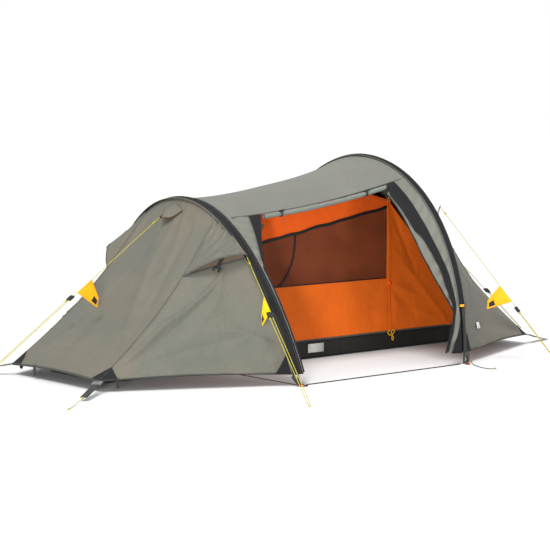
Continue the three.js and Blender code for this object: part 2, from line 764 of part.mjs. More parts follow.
function addGuyline(name, line) {
  const { along, length, sideways, above, at } = guylineFrame(line);
  const turn = STRANDS_APART.peg;
  const shareOf = (distance) => distance / length;
  const back = line.tensioner + shareOf(16);
  const route = [
    at(0),
    at(line.tensioner * 0.5),
    at(line.tensioner),
    at((1 + line.tensioner) / 2),
    at(1 - shareOf(8)),
    at(1 - shareOf(2), 1),
    at(1, turn),
    at(1 - shareOf(2), 2 * turn - 1),
    at(1 - shareOf(8), 2 * turn),
    at((1 + back) / 2, lerp(2 * turn, STRANDS_APART.tensioner, 0.5)),
    at(back, STRANDS_APART.tensioner),
  ];
  add(`guyline_${name}`, tube(route, CORD_RADIUS), MATERIAL.cord);

  // The tensioner is a block with a bore for the line and a slot for its returning end.
  const bore = circle(3, 8).getPoints().slice(0, 8).map((p) => [p.x, p.y]);
  const apart = STRANDS_APART.tensioner;
  const slot = rectangle(apart - 5, -3.2, apart + 3, 3.2);
  const block = plate(rectangle(-7, -4.5, apart + 6, 4.5), 30, [bore, slot]);
  const basis = new THREE.Matrix4().makeBasis(sideways, above, along.clone().negate());
  block.applyMatrix4(basis.setPosition(at(line.tensioner)));
  add(`tensioner_${name}`, block, MATERIAL.plastic);

  if (line.flag) {
    // A pouch for the spare line hangs from the line and leans towards the tent.
    const [from, to] = line.flag.map((share) => at(share));
    const drop = V(0, 0, -1).lerp(above.clone().negate(), line.flagLean).normalize();
    const under = above.clone().multiplyScalar(-CORD_RADIUS - 1);
    const corners = [
      from.clone().add(under),
      to.clone().add(under),
      from.clone().lerp(to, 0.12).addScaledVector(drop, 132),
      from.clone().lerp(to, -0.1).addScaledVector(drop, 98),
    ];
    const face = sideways.clone().setLength(1.5);
    add(
      `flag_${name}`,
      loft([corners.map((c) => c.clone().sub(face)), corners.map((c) => c.clone().add(face))]),
      MATERIAL.pouch,
    );
  }
}
Object.entries(GUYLINES).forEach(([name, line]) => addGuyline(name, line));

// Gussets sewn to the end panels carry the two centre lines.
function gusset(name, hoop, tip, end) {
  const side = Math.sign(hoop.x);
  const crown = V(hoop.x + hoop.lean + side * (besideSleeve(hoop) + 4), 0, hoop.height - 3);
  const low = end.centre(0.5, 0.14).add(V(side * 4, 0, 5));
  const high = end.centre(0.5, 0.04).add(V(side * 4, 0, 5));
  const back = tip.clone().add(V(-side * 6, 0, 1));
  const outline = [crown, back, low, high].map((point) => V(point.x, 0, point.z));
  const face = V(0, 1.2, 0);
  const faces = [outline.map((p) => p.clone().sub(face)), outline.map((p) => p.clone().add(face))];
  add(name, loft(faces), MATERIAL.sleeve);
}
gusset("foot_guy_gusset", FOOT, GUYLINES.foot_centre.start, footEnd);
gusset("head_guy_gusset", HEAD, GUYLINES.head_centre.start, headEnd);

// A thin cord carries the near foot corner's webbing on to its peg.
const PEG_CORD = [V(-1512, -499, 15.4), V(-1550, -530, 11), V(-1600, -571, 6), V(-1650, -611, 2.6), V(-1682, -637, 1.7)];
add("peg_cord_foot_near", tube(PEG_CORD, CORD_RADIUS), MATERIAL.cord);

// The long tail of the tall hoop's near strap lies on the ground.
const TAIL_RADIUS = 2;
const TAIL = [
  V(530, -786, 58),
  V(533, -797, 40),
  V(536, -808, 22),
  V(533, -822, 9),
  V(524, -845, 3.4),
  V(508, -880, 2.2),
  V(492, -925, 2.2),
  V(489, -965, 2.2),
  V(500, -987, 2.2),
  V(516, -996, 2.2),
];
add("strap_tail_head_near", tube(TAIL, TAIL_RADIUS), MATERIAL.cord);

export default tent;
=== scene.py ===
"""Looks for a two-hoop tunnel tent with an open side door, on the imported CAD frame. Metres, +Z up."""

import math

import bpy
import numpy as np
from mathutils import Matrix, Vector, noise


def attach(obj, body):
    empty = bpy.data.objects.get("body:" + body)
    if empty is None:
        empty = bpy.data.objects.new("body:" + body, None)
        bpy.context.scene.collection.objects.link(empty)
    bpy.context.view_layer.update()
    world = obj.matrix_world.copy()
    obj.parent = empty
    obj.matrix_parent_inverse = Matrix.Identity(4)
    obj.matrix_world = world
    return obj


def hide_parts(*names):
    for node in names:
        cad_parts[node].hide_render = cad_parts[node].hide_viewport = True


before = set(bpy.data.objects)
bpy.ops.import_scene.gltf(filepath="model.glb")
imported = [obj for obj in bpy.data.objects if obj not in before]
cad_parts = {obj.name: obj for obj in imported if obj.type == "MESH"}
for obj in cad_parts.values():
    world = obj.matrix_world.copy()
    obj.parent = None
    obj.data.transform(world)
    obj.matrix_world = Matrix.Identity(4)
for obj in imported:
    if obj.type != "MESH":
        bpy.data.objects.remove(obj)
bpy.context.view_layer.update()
ROOT = "tent"
UP = Vector((0, 0, 1))

# ------------------------------------------------------------------ driving dimensions
HOOP_SPACING = 1.054
FOOT = {"x": -0.527, "half_width": 0.775, "height": 0.813, "width_power": 0.938, "height_power": 1.7,
        "lean": -0.065, "sleeve_half": 0.031}
HEAD = {"x": 0.527, "half_width": 0.773, "height": 0.992, "width_power": 1.024, "height_power": 0.929,
        "lean": 0.033, "sleeve_half": 0.018}
HEM_HEIGHT = 0.055
FOOT_CORNER = Vector((-1.327, -0.350, 0.050))
HEAD_CORNER = Vector((1.311, -0.467, 0.050))
SADDLE = 0.040
SEAM_SAG = {"foot": 0.045, "head": 0.062}
DOOR_TOP = 0.366
FOOT_SEAM = 0.375
HEAD_SEAM = 0.380
VENT = 0.255
VENT_SEAM = 0.34
HOOD_LIFT = Vector((0, -0.054, 0.046))
AXIS_HEIGHT = 0.250
INNER_Y = -0.161
TUB_HEIGHT = 0.093
SILL = 0.370


def lerp(a, b, t):
    return a + (b - a) * t


def profile(pairs, at):
    """A value that runs straight between (place, value) pairs, given in rising order of place."""
    places, values = zip(*pairs)
    return float(np.interp(at, places, values))


def mirrored(point):
    return Vector((point.x, -point.y, point.z))


def on_far_side(surface):
    return lambda p, q: mirrored(surface(p, q))


# A surface or function of the near side, turned over for each side of the tent.
TURNED = (("near", lambda surface: surface), ("far", on_far_side))


def shares(parts):
    """Evenly spaced shares from 0 to 1."""
    return [k / parts for k in range(parts + 1)]


def hump(share, power):
    """1 in the middle and nearly 0 at both ends of 0 to 1, flatter on top for a small power."""
    return math.sin(math.pi * min(max(share, 0.02), 0.98)) ** power


# ------------------------------------------------------------------ camera
VIEW_FROM = Vector((-5.896, -6.913, 1.284))
VIEW_TO = Vector((-0.018, 0.0, 0.410))
camera_data = bpy.data.cameras.new("camera")
camera_data.lens = 120.4
camera_data.sensor_width = 36.0
camera = bpy.data.objects.new("camera", camera_data)
camera.location = VIEW_FROM
camera.rotation_euler = (VIEW_TO - VIEW_FROM).to_track_quat("-Z", "Y").to_euler()
bpy.context.scene.collection.objects.link(camera)
bpy.context.scene.camera = camera


# ------------------------------------------------------------------ materials
class Shader:
    """A Principled material with a few helpers to wire procedural detail into it."""

    def __init__(self, name, roughness, metallic=0.0, sheen=0.0):
        self.material = bpy.data.materials.new(name)
        self.material.use_nodes = True
        self.nodes = self.material.node_tree.nodes
        self.links = self.material.node_tree.links
        self.bsdf = self.nodes["Principled BSDF"]
        settings = {"Roughness": roughness, "Metallic": metallic, "Sheen Weight": sheen,
                    "Sheen Roughness": 0.4, "Specular IOR Level": 0.5 if metallic else 0.22}
        for socket, value in settings.items():
            self.bsdf.inputs[socket].default_value = value
        self.height = None

    def node(self, kind, **values):
        made = self.nodes.new(kind)
        for key, value in values.items():
            if key in made.inputs.keys():
                made.inputs[key].default_value = value
            else:
                setattr(made, key, value)
        return made

    def coordinates(self, which):
        return self.node("ShaderNodeTexCoord").outputs[which]

    def texture(self, kind, where, out, **values):
        made = self.node(kind, **values)
        self.links.new(where, made.inputs["Vector"])
        return made.outputs[out]

    def math(self, operation, a, b):
        made = self.node("ShaderNodeMath", operation=operation)
        for socket, value in zip(made.inputs, (a, b)):
            if isinstance(value, bpy.types.NodeSocket):
                self.links.new(value, socket)
            else:
                socket.default_value = value
        return made.outputs[0]

    def ramp(self, factor, stops):
        made = self.node("ShaderNodeValToRGB")
        elements = made.color_ramp.elements
        for element, (place, color) in zip(elements, (stops[0], stops[-1])):
            element.position = place
            element.color = (*color, 1)
        for place, color in stops[1:-1]:
            elements.new(place).color = (*color, 1)
        self.links.new(factor, made.inputs["Fac"])
        return made.outputs["Color"]

    def color(self, socket):
        self.links.new(socket, self.bsdf.inputs["Base Color"])

    def multiply(self, a, b):
        made = self.node("ShaderNodeMix", data_type="RGBA", blend_type="MULTIPLY")
        made.inputs["Factor"].default_value = 1.0
        self.links.new(a, made.inputs["A"])
        self.links.new(b, made.inputs["B"])
        return made.outputs["Result"]

    def waves(self, where, direction, scale, **values):
        """Parallel bands, as threads and ribs."""
        return self.texture("ShaderNodeTexWave", where, "Fac", wave_type="BANDS", bands_direction=direction,
                            Scale=scale, **values)

    def spots(self, where, scale, detail, **values):
        return self.texture("ShaderNodeTexNoise", where, "Fac", Scale=scale, Detail=detail, **values)

    def bump(self, height, strength, distance):
        made = self.node("ShaderNodeBump", Strength=strength, Distance=distance)
        self.links.new(height, made.inputs["Height"])
        if self.height is not None:
            self.links.new(self.height, made.inputs["Normal"])
        self.height = made.outputs["Normal"]
        self.links.new(self.height, self.bsdf.inputs["Normal"])


def shade(color, factor):
    return tuple(min(1.0, c * factor) for c in color)


def bands_at(pitch):
    """The wave texture's scale for bands this far apart, in metres."""
    return 1 / (pitch * 2 * math.pi)


def grey(value):
    return (value, value, value)


def cloth(name, color, roughness=0.62, sheen=0.04, grid=0.006, grid_depth=0.25, crinkle=0.35, patchy=0.05,
          tint=None):
    """Woven cloth: threads, a ripstop grid, soft crinkles and slightly uneven colour. UVs are metres."""
    s = Shader(name, roughness, sheen=sheen)
    uv = s.coordinates("UV")
    around = s.coordinates("Object")
    threads = bands_at(0.0007)
    weave = s.math("MULTIPLY", s.waves(uv, "X", threads), s.waves(uv, "Y", threads))
    cell = s.texture("ShaderNodeTexBrick", uv, "Fac", offset=0.0, Scale=1.0, **{
        "Mortar Size": grid * 0.07, "Mortar Smooth": 0.5, "Brick Width": grid, "Row Height": grid})
    blotch = s.spots(around, 3.0, 4.0, Roughness=0.55)
    # With a second colour given, the blotches mix in that colour too. On the end panels it is a warm one that
    # stands for the orange inner glowing through the fly: painted light, spread in random blotches.
    base = s.ramp(blotch, [(0.36, shade(color, 1 - patchy)), (0.64, shade(tint or color, 1 + patchy))])
    threads_tint = s.ramp(weave, [(0.0, grey(0.86)), (1.0, grey(1.0))])
    grid_tint = s.ramp(cell, [(0.0, grey(1.0)), (1.0, grey(0.9))])
    s.color(s.multiply(s.multiply(base, threads_tint), grid_tint))
    folds = s.spots(around, 7.0, 6.0, Roughness=0.55, Distortion=0.5)
    s.bump(folds, crinkle, 0.030)
    s.bump(cell, grid_depth, 0.0004)
    s.bump(weave, 0.3, 0.0002)
    return s.material


def webbing(name, color):
    """Flat woven strap: ribs across it and rows of threads along it. UV x is metres along, y across."""
    rib = 0.0022
    s = Shader(name, 0.8, sheen=0.03)
    uv = s.coordinates("UV")
    ribs = s.waves(uv, "X", bands_at(rib), Distortion=0.4)
    both = s.math("MULTIPLY", ribs, s.waves(uv, "Y", 1 / (rib * 4)))
    wear = s.spots(s.coordinates("Object"), 60.0, 4.0)
    tone = s.ramp(wear, [(0.35, shade(color, 0.75)), (0.7, shade(color, 1.3))])
    ribs_tint = s.ramp(both, [(0.0, grey(0.7)), (1.0, grey(1.0))])
    s.color(s.multiply(tone, ribs_tint))
    s.bump(both, 0.6, 0.0006)
    return s.material


def braid(name, color, tracer):
    """Braided cord: diagonal strands with a darker tracer thread."""
    s = Shader(name, 0.7, sheen=0.03)
    around = s.coordinates("Object")
    strands = s.waves(around, "DIAGONAL", 110.0, Distortion=1.5)
    specks = s.spots(around, 240.0, 2.0)
    s.color(s.multiply(s.ramp(strands, [(0.1, tracer), (0.35, color), (1.0, shade(color, 1.1))]),
                       s.ramp(specks, [(0.3, grey(0.85)), (0.6, grey(1.0))])))
    s.bump(strands, 0.6, 0.0006)
    return s.material


def plastic(name, color):
    """Moulded nylon: fine spark texture, softly scuffed."""
    s = Shader(name, 0.42)
    around = s.coordinates("Object")
    grain = s.spots(around, 900.0, 3.0)
    scuffs = s.spots(around, 70.0, 6.0, Roughness=0.7)
    s.color(s.ramp(scuffs, [(0.4, color), (0.75, shade(color, 2.2))]))
    s.links.new(s.math("MULTIPLY_ADD", scuffs, 0.25), s.bsdf.inputs["Roughness"])
    s.bump(grain, 0.25, 0.0003)
    return s.material


def metal(name, color):
    """Anodised tube with fine handling marks."""
    s = Shader(name, 0.55, metallic=0.9)
    marks = s.spots(s.coordinates("Object"), 160.0, 6.0, Roughness=0.7)
    s.color(s.ramp(marks, [(0.35, shade(color, 0.85)), (0.65, color)]))
    s.bump(marks, 0.15, 0.0003)
    return s.material


def netting(name, color):
    """Fine insect netting: a mesh of threads that what lies behind shows through."""
    s = Shader(name, 0.75, sheen=0.03)
    uv = s.coordinates("UV")
    threads = bands_at(0.0022)
    thread = s.math("MAXIMUM", s.waves(uv, "X", threads), s.waves(uv, "Y", threads))
    cover = s.math("MULTIPLY_ADD", thread, 0.75)
    cover.node.inputs[2].default_value = 0.2
    s.links.new(cover, s.bsdf.inputs["Alpha"])
    tone = s.spots(s.coordinates("Object"), 7.0, 3.0)
    s.color(s.ramp(tone, [(0.35, shade(color, 0.8)), (0.65, shade(color, 1.15))]))
    s.bump(thread, 0.3, 0.0005)
    return s.material


FLY_COLOR = (0.136, 0.137, 0.117)
LOOK = {
    "fly": cloth("fly_cloth", FLY_COLOR, crinkle=0.4),
    # The end cloth is the fly cloth painted darker, as painted shade on the end panels, the hoods and the
    # gussets. Its warm tint is painted light: the orange inner glowing through.
    "painted_shade_fly_end": cloth("painted_shade_fly_end_cloth", (0.092, 0.096, 0.078), crinkle=0.55, tint=(0.108, 0.096, 0.073)),
    "fly_inside": cloth("fly_trim", shade(FLY_COLOR, 0.5), grid_depth=0.1),
    "fly_roll": cloth("rolled_door_cloth", (0.150, 0.165, 0.145), crinkle=0.7),
    "seam": cloth("seam_tape", (0.060, 0.060, 0.050), sheen=0.02, grid=0.003, crinkle=0.2),
    "hem": cloth("hem_tape", (0.040, 0.042, 0.036), sheen=0.0, grid=0.003, crinkle=0.2),
    "zip": cloth("zip_tape", (0.008, 0.008, 0.008), sheen=0.0, grid=0.002, crinkle=0.2),
    # The vent netting is coloured brown-grey, as the shaded cloth under a hood looks. It is a netting that
    # vents have, with painted shade in its colour.
    "vent": cloth("vent_netting_painted_shade", (0.150, 0.112, 0.080), sheen=0.0, grid=0.002, crinkle=0.5),
    "piping": cloth("sleeve_piping", (0.10, 0.10, 0.09), grid=0.003, crinkle=0.2),
    "sleeve": cloth("sleeve_cloth", (0.0058, 0.0058, 0.0072), roughness=0.8, sheen=0.01, crinkle=0.5,
                    patchy=0.25),
    "inner": cloth("inner_cloth", (0.62, 0.105, 0.003), roughness=0.8, sheen=0.0, grid=0.005, crinkle=0.4,
                   patchy=0.06),
    # The band above the window is painted a darker, deeper orange than the rest of the wall, as painted shade
    # under the fly. The upright seam tape shares this colour.
    "inner_shade_and_seam": cloth("inner_upper_shade_and_seam_cloth", (0.62, 0.080, 0.002), roughness=0.8, sheen=0.0, grid=0.005,
                        crinkle=0.4, patchy=0.06),
    "netting": netting("netting", (0.145, 0.032, 0.010)),
    "floor": cloth("floor_cloth", (0.011, 0.0095, 0.008), roughness=0.5, sheen=0.02, crinkle=0.5,
                   patchy=0.25),
    "webbing": webbing("dark_webbing", (0.030, 0.032, 0.030)),
    "webbing_light": webbing("grey_webbing", (0.085, 0.095, 0.085)),
    # Brown webbing serves two uses. It is the real tape across the foot, and it colours the gusset's edge
    # ribbons, where the brown is painted shadow under the gusset.
    "webbing_brown_and_shadow": webbing("brown_webbing_and_shadow_line", (0.085, 0.050, 0.028)),
    "pouch": cloth("pouch_cloth", (0.78, 0.36, 0.002), roughness=0.6, sheen=0.0, grid=0.004, crinkle=0.3),
    "pouch_yellow": cloth("bright_pouch_cloth", (0.80, 0.57, 0.002), roughness=0.6, sheen=0.0, grid=0.004,
                          crinkle=0.3),
    "pouch_dark": cloth("pouch_window", (0.02, 0.018, 0.016), grid=0.002, crinkle=0.2),
    "orange": cloth("orange_loop", (0.80, 0.09, 0.006), sheen=0.0, grid=0.002, crinkle=0.2),
    "label": cloth("blank_label", (0.55, 0.55, 0.52), grid=0.002, crinkle=0.1),
    "cord": braid("guyline_cord", (0.40, 0.34, 0.015), (0.14, 0.12, 0.03)),
    "plastic": plastic("black_nylon", (0.010, 0.010, 0.010)),
    "buckle": plastic("grey_buckle", (0.10, 0.10, 0.10)),
    "pole": metal("pole_metal", (0.030, 0.038, 0.030)),
}


# ------------------------------------------------------------------ mesh helpers
def finish_piece(obj, look, body=ROOT, stands_for=()):
    obj.data.materials.append(LOOK[look])
    bpy.context.scene.collection.objects.link(obj)
    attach(obj, body)
    if stands_for:
        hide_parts(*stands_for)
    return obj


def make_mesh(name, points, faces, uvs=None):
    mesh = bpy.data.meshes.new(name)
    mesh.from_pydata([tuple(p) for p in points], [], faces)
    mesh.polygons.foreach_set("use_smooth", [True] * len(mesh.polygons))
    if uvs is not None:
        layer = mesh.uv_layers.new(name="metres")
        for loop in mesh.loops:
            layer.data[loop.index].uv = uvs[loop.vertex_index]
    mesh.validate()
    return bpy.data.objects.new(name, mesh)


def length_of(points):
    return sum((b - a).length for a, b in zip(points, points[1:]))


def lattice_faces(across, down):
    w = across + 1
    return [(j * w + i, j * w + i + 1, (j + 1) * w + i + 1, (j + 1) * w + i)
            for j in range(down) for i in range(across)]


def ring_faces(gaps, count, capped=True):
    """Faces of a tube of rings with count points each, with a face over both ends if capped."""
    faces = []
    for k in range(gaps):
        for i in range(count):
            a, b = k * count + i, k * count + (i + 1) % count
            faces.append((a, b, b + count, a + count))
    if capped:
        faces.append(tuple(reversed(range(count))))
        faces.append(tuple(range(gaps * count, (gaps + 1) * count)))
    return faces


def circle(centre, one, two, parts):
    """A closed loop round centre, with the half axes one and two."""
    turns = [2 * math.pi * share for share in shares(parts)]
    return [centre + two * math.sin(turn) + one * math.cos(turn) for turn in turns]


def grid(name, surface, across, down, shape=None):
    """A sheet over surface(p, q), p and q from 0 to 1; shape(point, normal, p, q) gives a fold height."""
    rows = [[surface(i / across, j / down) for i in range(across + 1)] for j in range(down + 1)]
    width = max(length_of(rows[down // 2]), length_of(rows[-1]))
    height = length_of([row[across // 2] for row in rows])
    step = 1e-3
    points = []
    uvs = []
    for j, row in enumerate(rows):
        for i, point in enumerate(row):
            p, q = i / across, j / down
            if shape:
                along = surface(min(p + step, 1), q) - surface(max(p - step, 0), q)
                down_way = surface(p, min(q + step, 1)) - surface(p, max(q - step, 0))
                normal = along.cross(down_way)
                if normal.length > 0:
                    normal.normalize()
                    if normal.dot(Vector((0, point.y, point.z - AXIS_HEIGHT))) < 0:
                        normal.negate()
                    point = point + normal * shape(point, normal, p, q)
            points.append(point)
            uvs.append((p * width, q * height))
    obj = make_mesh(name, points, lattice_faces(across, down), uvs)
    obj["grid"] = [across, down]
    return obj


def ribbon(name, path, facings, width, thickness, look, body=ROOT, stands_for=(), smooth=3):
    """Webbing or tape along a path. facings is one direction, or one for each point."""
    points = resample(path, smooth) if smooth > 1 else list(path)
    if isinstance(facings, Vector):
        looks = [facings] * len(points)
    else:
        looks = resample(facings, smooth) if smooth > 1 else list(facings)
    outline = [(-0.5, -0.5), (0, -0.62), (0.5, -0.5), (0.56, 0), (0.5, 0.5), (0, 0.62), (-0.5, 0.5),
               (-0.56, 0)]
    verts, uvs = [], []
    travelled = 0.0
    for k, (point, facing) in enumerate(zip(points, looks)):
        before, after = points[max(k - 1, 0)], points[min(k + 1, len(points) - 1)]
        along = (after - before).normalized()
        side = facing.cross(along).normalized()
        normal = along.cross(side)
        if k:
            travelled += (point - points[k - 1]).length
        for a, n in outline:
            verts.append(point + side * (a * width) + normal * (n * thickness))
            uvs.append((travelled, a * width))
    obj = make_mesh(name, verts, ring_faces(len(points) - 1, len(outline)), uvs)
    return finish_piece(obj, look, body, stands_for)


def resample(points, parts):
    """Points on a smooth curve through the given ones, parts to each gap (Catmull-Rom)."""
    padded = [points[0], *points, points[-1]]
    made = []
    for a, b, c, d in zip(padded, padded[1:], padded[2:], padded[3:]):
        for k in range(parts):
            t = k / parts
            made.append(0.5 * (2 * b + (c - a) * t + (2 * a - 5 * b + 4 * c - d) * t * t
                               + (3 * b - a - 3 * c + d) * t * t * t))
    made.append(points[-1].copy())
    return made


def tube_mesh(name, points, radius, sides, look, stands_for=()):
    """A round tube along points."""
    verts, uvs = [], []
    travelled = 0.0
    side = None
    for k, point in enumerate(points):
        before, after = points[max(k - 1, 0)], points[min(k + 1, len(points) - 1)]
        along = (after - before).normalized()
        side = side or along.orthogonal()
        side = (side - along * side.dot(along)).normalized()
        other = along.cross(side)
        if k:
            travelled += (point - points[k - 1]).length
        for i in range(sides):
            angle = 2 * math.pi * i / sides
            verts.append(point + side * (radius * math.cos(angle)) + other * (radius * math.sin(angle)))
            uvs.append((travelled, radius * angle))
    obj = make_mesh(name, verts, ring_faces(len(points) - 1, sides), uvs)
    return finish_piece(obj, look, ROOT, stands_for)


# ------------------------------------------------------------------ guylines
CORD_RADIUS = 0.0016
GUYLINES = {
    "foot_centre": {"start": (-0.728, 0, 0.726), "peg": (-1.778, 0, 0.002), "flag": (0.37, 0.446),
                    "lean": 0.5, "tensioner": 0.478},
    "foot_near": {"start": (-0.604, -0.492, 0.566), "peg": (-0.862, -1.225, 0.002), "flag": (0.285, 0.385),
                  "lean": 0.4, "tensioner": 0.41},
    "head_near": {"start": (0.584, -0.546, 0.752), "peg": (0.849, -1.100, 0.002), "flag": (0.506, 0.606),
                  "lean": 0.65, "tensioner": 0.655},
    "head_centre": {"start": (0.630, 0, 0.943), "peg": (1.785, 0, 0.002), "tensioner": 0.757},
}
APART = {"tensioner": 0.015, "peg": 0.005}


def cord_curve(name, points, look, node, radius=CORD_RADIUS):
    curve = bpy.data.curves.new(name, "CURVE")
    curve.dimensions = "3D"
    curve.bevel_depth = radius
    curve.bevel_resolution = 3
    curve.use_fill_caps = True
    spline = curve.splines.new("POLY")
    spline.points.add(len(points) - 1)
    for target, point in zip(spline.points, points):
        target.co = (*point, 1)
    obj = bpy.data.objects.new(name, curve)
    finish_piece(obj, look, ROOT, [node])
    length_of(points)


def coil_knot(name, point, along, turns=4, radius=0.0032, wire=0.0014):
    """A few tight turns round the line, as a knot shows."""
    along = along.normalized()
    side = along.orthogonal().normalized()
    other = along.cross(side)
    steps = turns * 10
    points = []
    for k in range(steps + 1):
        angle = 2 * math.pi * k / 10
        points.append(point + along * (turns * 2.2 * wire * (k / steps - 0.5))
                      + side * (radius * math.cos(angle)) + other * (radius * math.sin(angle)))
    return tube_mesh(name, points, wire, 8, "cord")


for name, line in GUYLINES.items():
    start, peg = Vector(line["start"]), Vector(line["peg"])
    along = (peg - start).normalized()
    length = (peg - start).length
    sideways = along.cross(UP).normalized()

    def at(share, side=0.0, start=start, peg=peg, sideways=sideways):
        return start.lerp(peg, share) + sideways * side

    turn = APART["peg"]
    bend, tip = 1 - 0.008 / length, 1 - 0.002 / length
    back = line["tensioner"] + 0.016 / length
    out = [at(share * bend) for share in shares(12)[:-1]]
    round_peg = [at(bend), at(tip, 0.001), at(1, turn), at(tip, 2 * turn - 0.001), at(bend, 2 * turn)]
    home = [at(lerp(1, back, share), lerp(2 * turn, APART["tensioner"], share)) for share in shares(8)[1:]]
    cord_curve("guyline_cord_" + name, out + round_peg + home, "cord", "guyline_" + name)
    coil_knot("guyline_knot_" + name, at(0.022 / length * 2), along)
    coil_knot("guyline_end_knot_" + name, at(back + 0.006 / length, APART["tensioner"]), along, turns=2)

PEG_CORD = [(-1.512, -0.499, 0.0154), (-1.550, -0.530, 0.011), (-1.600, -0.571, 0.006),
            (-1.650, -0.611, 0.0026), (-1.682, -0.637, 0.0017)]
cord_curve("peg_cord_piece", [Vector(p) for p in PEG_CORD], "cord", "peg_cord_foot_near")
first_knot = Vector(PEG_CORD[0]) + Vector((-0.006, -0.005, 0))
coil_knot("peg_cord_knot", first_knot, Vector((-0.04, -0.03, 0)), turns=3)
end_knot = Vector(PEG_CORD[-1]) + Vector((0.003, 0.002, 0.002))
coil_knot("peg_cord_end_knot", end_knot, Vector((-0.03, -0.03, 0)), turns=2)
TAIL = [(0.530, -0.786, 0.058), (0.533, -0.797, 0.040), (0.536, -0.808, 0.022), (0.533, -0.822, 0.009),
        (0.524, -0.845, 0.0034), (0.508, -0.880, 0.0022), (0.492, -0.925, 0.0022), (0.489, -0.965, 0.0022),
        (0.500, -0.987, 0.0022), (0.516, -0.996, 0.0022)]
cord_curve("strap_tail_piece", resample([Vector(p) for p in TAIL], 3), "webbing_light",
           "strap_tail_head_near", radius=0.002)
whipping = Vector(TAIL[-1]) + Vector((-0.004, 0.0024, 0.0012))
coil_knot("strap_tail_whipping", whipping, Vector((0.016, -0.009, 0)), turns=3)


# ------------------------------------------------------------------ hoops
class Arc:
    """The part of a hoop between two heights, with points by share of its length from the door side."""

    def __init__(self, hoop, near, far=None, lift=0.0):
        self.hoop = hoop
        first = self.angle(near)
        last = math.pi - self.angle(near if far is None else far)
        angles = np.linspace(first, last, 600)
        cosine = np.cos(angles)
        rise = np.abs(np.sin(angles)) ** hoop["height_power"]
        y = -hoop["half_width"] * np.sign(cosine) * np.abs(cosine) ** hoop["width_power"]
        points = np.stack([hoop["x"] + hoop["lean"] * rise, y, hoop["height"] * rise], axis=1)
        steps = np.linalg.norm(np.diff(points, axis=0), axis=1)
        self.shares = np.concatenate([[0], np.cumsum(steps)]) / steps.sum()
        self.length = float(steps.sum())
        self.points = points

    def angle(self, height):
        return math.asin((height / self.hoop["height"]) ** (1 / self.hoop["height_power"]))

    def at(self, share):
        return Vector([float(np.interp(share, self.shares, self.points[:, k])) for k in range(3)])

    def tangent(self, share):
        return (self.at(min(share + 2e-3, 1)) - self.at(max(share - 2e-3, 0))).normalized()

    def normal(self, share):
        made = Vector((1, 0, 0)).cross(self.tangent(share)).normalized()
        return made if made.dot(outward(self.at(share))) > 0 else -made


def outward(point):
    return Vector((0, point.y, point.z - AXIS_HEIGHT)).normalized()


foot_edge = Arc(FOOT, HEM_HEIGHT)
head_edge = Arc(HEAD, HEM_HEIGHT)
foot_sleeve = Arc(FOOT, 0.050)
head_sleeve = Arc(HEAD, 0.282, 0.050)


def roof(u, s, lift=0.0):
    """The cloth over the tunnel: u from hoop to hoop, s along the arc from the door side."""
    point = foot_edge.at(s).lerp(head_edge.at(s), u)
    return point + outward(point) * (lift - SADDLE * 4 * u * (1 - u))


def sleeve_piece(name, arc, node):
    """A flat sleeve of cloth that bulges over the pole, lightly puckered along its stitching."""
    steps = 150
    half = arc.hoop["sleeve_half"]
    edge = [-1, -0.9, -0.62, -0.4, -0.2, 0, 0.2, 0.4, 0.62, 0.9, 1]

    def bulge(a, high):
        return 0.0012 + high * math.exp(-((a * half / 0.013) ** 2))

    verts, uvs = [], []
    loop = [(a, bulge(a, 0.0072)) for a in edge] + [(a, -bulge(a, 0.0052)) for a in reversed(edge[1:-1])]
    for s in shares(steps):
        point, normal = arc.at(s), arc.normal(s)
        for a, n in loop:
            pucker = 0.0011 * noise.noise(Vector((a * 3, s * 90, arc.hoop["x"]))) * min(abs(a) * 1.6, 1)
            pucker += 0.0006 * math.sin(s * arc.length / 0.018) * math.exp(-(((abs(a) - 0.62) / 0.14) ** 2))
            width = half * (1 + 0.012 * noise.noise(Vector((7, s * 40, a))))
            verts.append(point + Vector((a * width, 0, 0)) + normal * (n + (pucker if n > 0 else 0)))
            uvs.append((s * arc.length, a * width))
    faces = ring_faces(steps, len(loop), capped=False)
    finish_piece(make_mesh(name, verts, faces, uvs), "sleeve", ROOT, [node])
    for label, side in (("foot", -1), ("head", 1)):
        row = [arc.at(s) + Vector((side * half * 0.62, 0, 0)) + arc.normal(s) * 0.0026 for s in shares(90)]
        ribbon(f"{name}_stitching_{label}_side", row, [arc.normal(s) for s in shares(90)], 0.0012, 0.0008,
               "seam", smooth=1)


sleeve_piece("foot_sleeve_cloth", foot_sleeve, "foot_pole_sleeve")
sleeve_piece("head_sleeve_cloth", head_sleeve, "head_pole_sleeve")


def pole_piece(name, arc, bare, node):
    hoop = arc.hoop
    tip = Vector((hoop["x"], -hoop["half_width"], 0.0015))
    points = [tip] + [Arc(hoop, z).at(0) for z in bare] + [arc.at(s) for s in shares(60)] + [mirrored(tip)]
    return tube_mesh(name, points, 0.0042, 14, "pole", [node])


pole_piece("foot_pole_tube", foot_sleeve, [], "foot_pole")
pole_piece("head_pole_tube", head_sleeve, [0.03, 0.08, 0.13, 0.18, 0.23], "head_pole")


# ------------------------------------------------------------------ folds in the cloth
def wander(point, scale, seed):
    return noise.noise(point * scale + Vector((seed, seed * 1.7, seed * 0.3)))


def fan(point, corner, folds, height, reach, seed):
    """Folds that fan out from a pulled corner and die away."""
    away = point - corner
    distance = away.length
    angle = math.atan2(away.z, math.hypot(away.x, away.y) + 1e-6)
    fade = math.exp(-distance / reach) * min(distance / 0.06, 1)
    return height * fade * math.sin(folds * angle + 2.5 * wander(point, 3.0, seed))


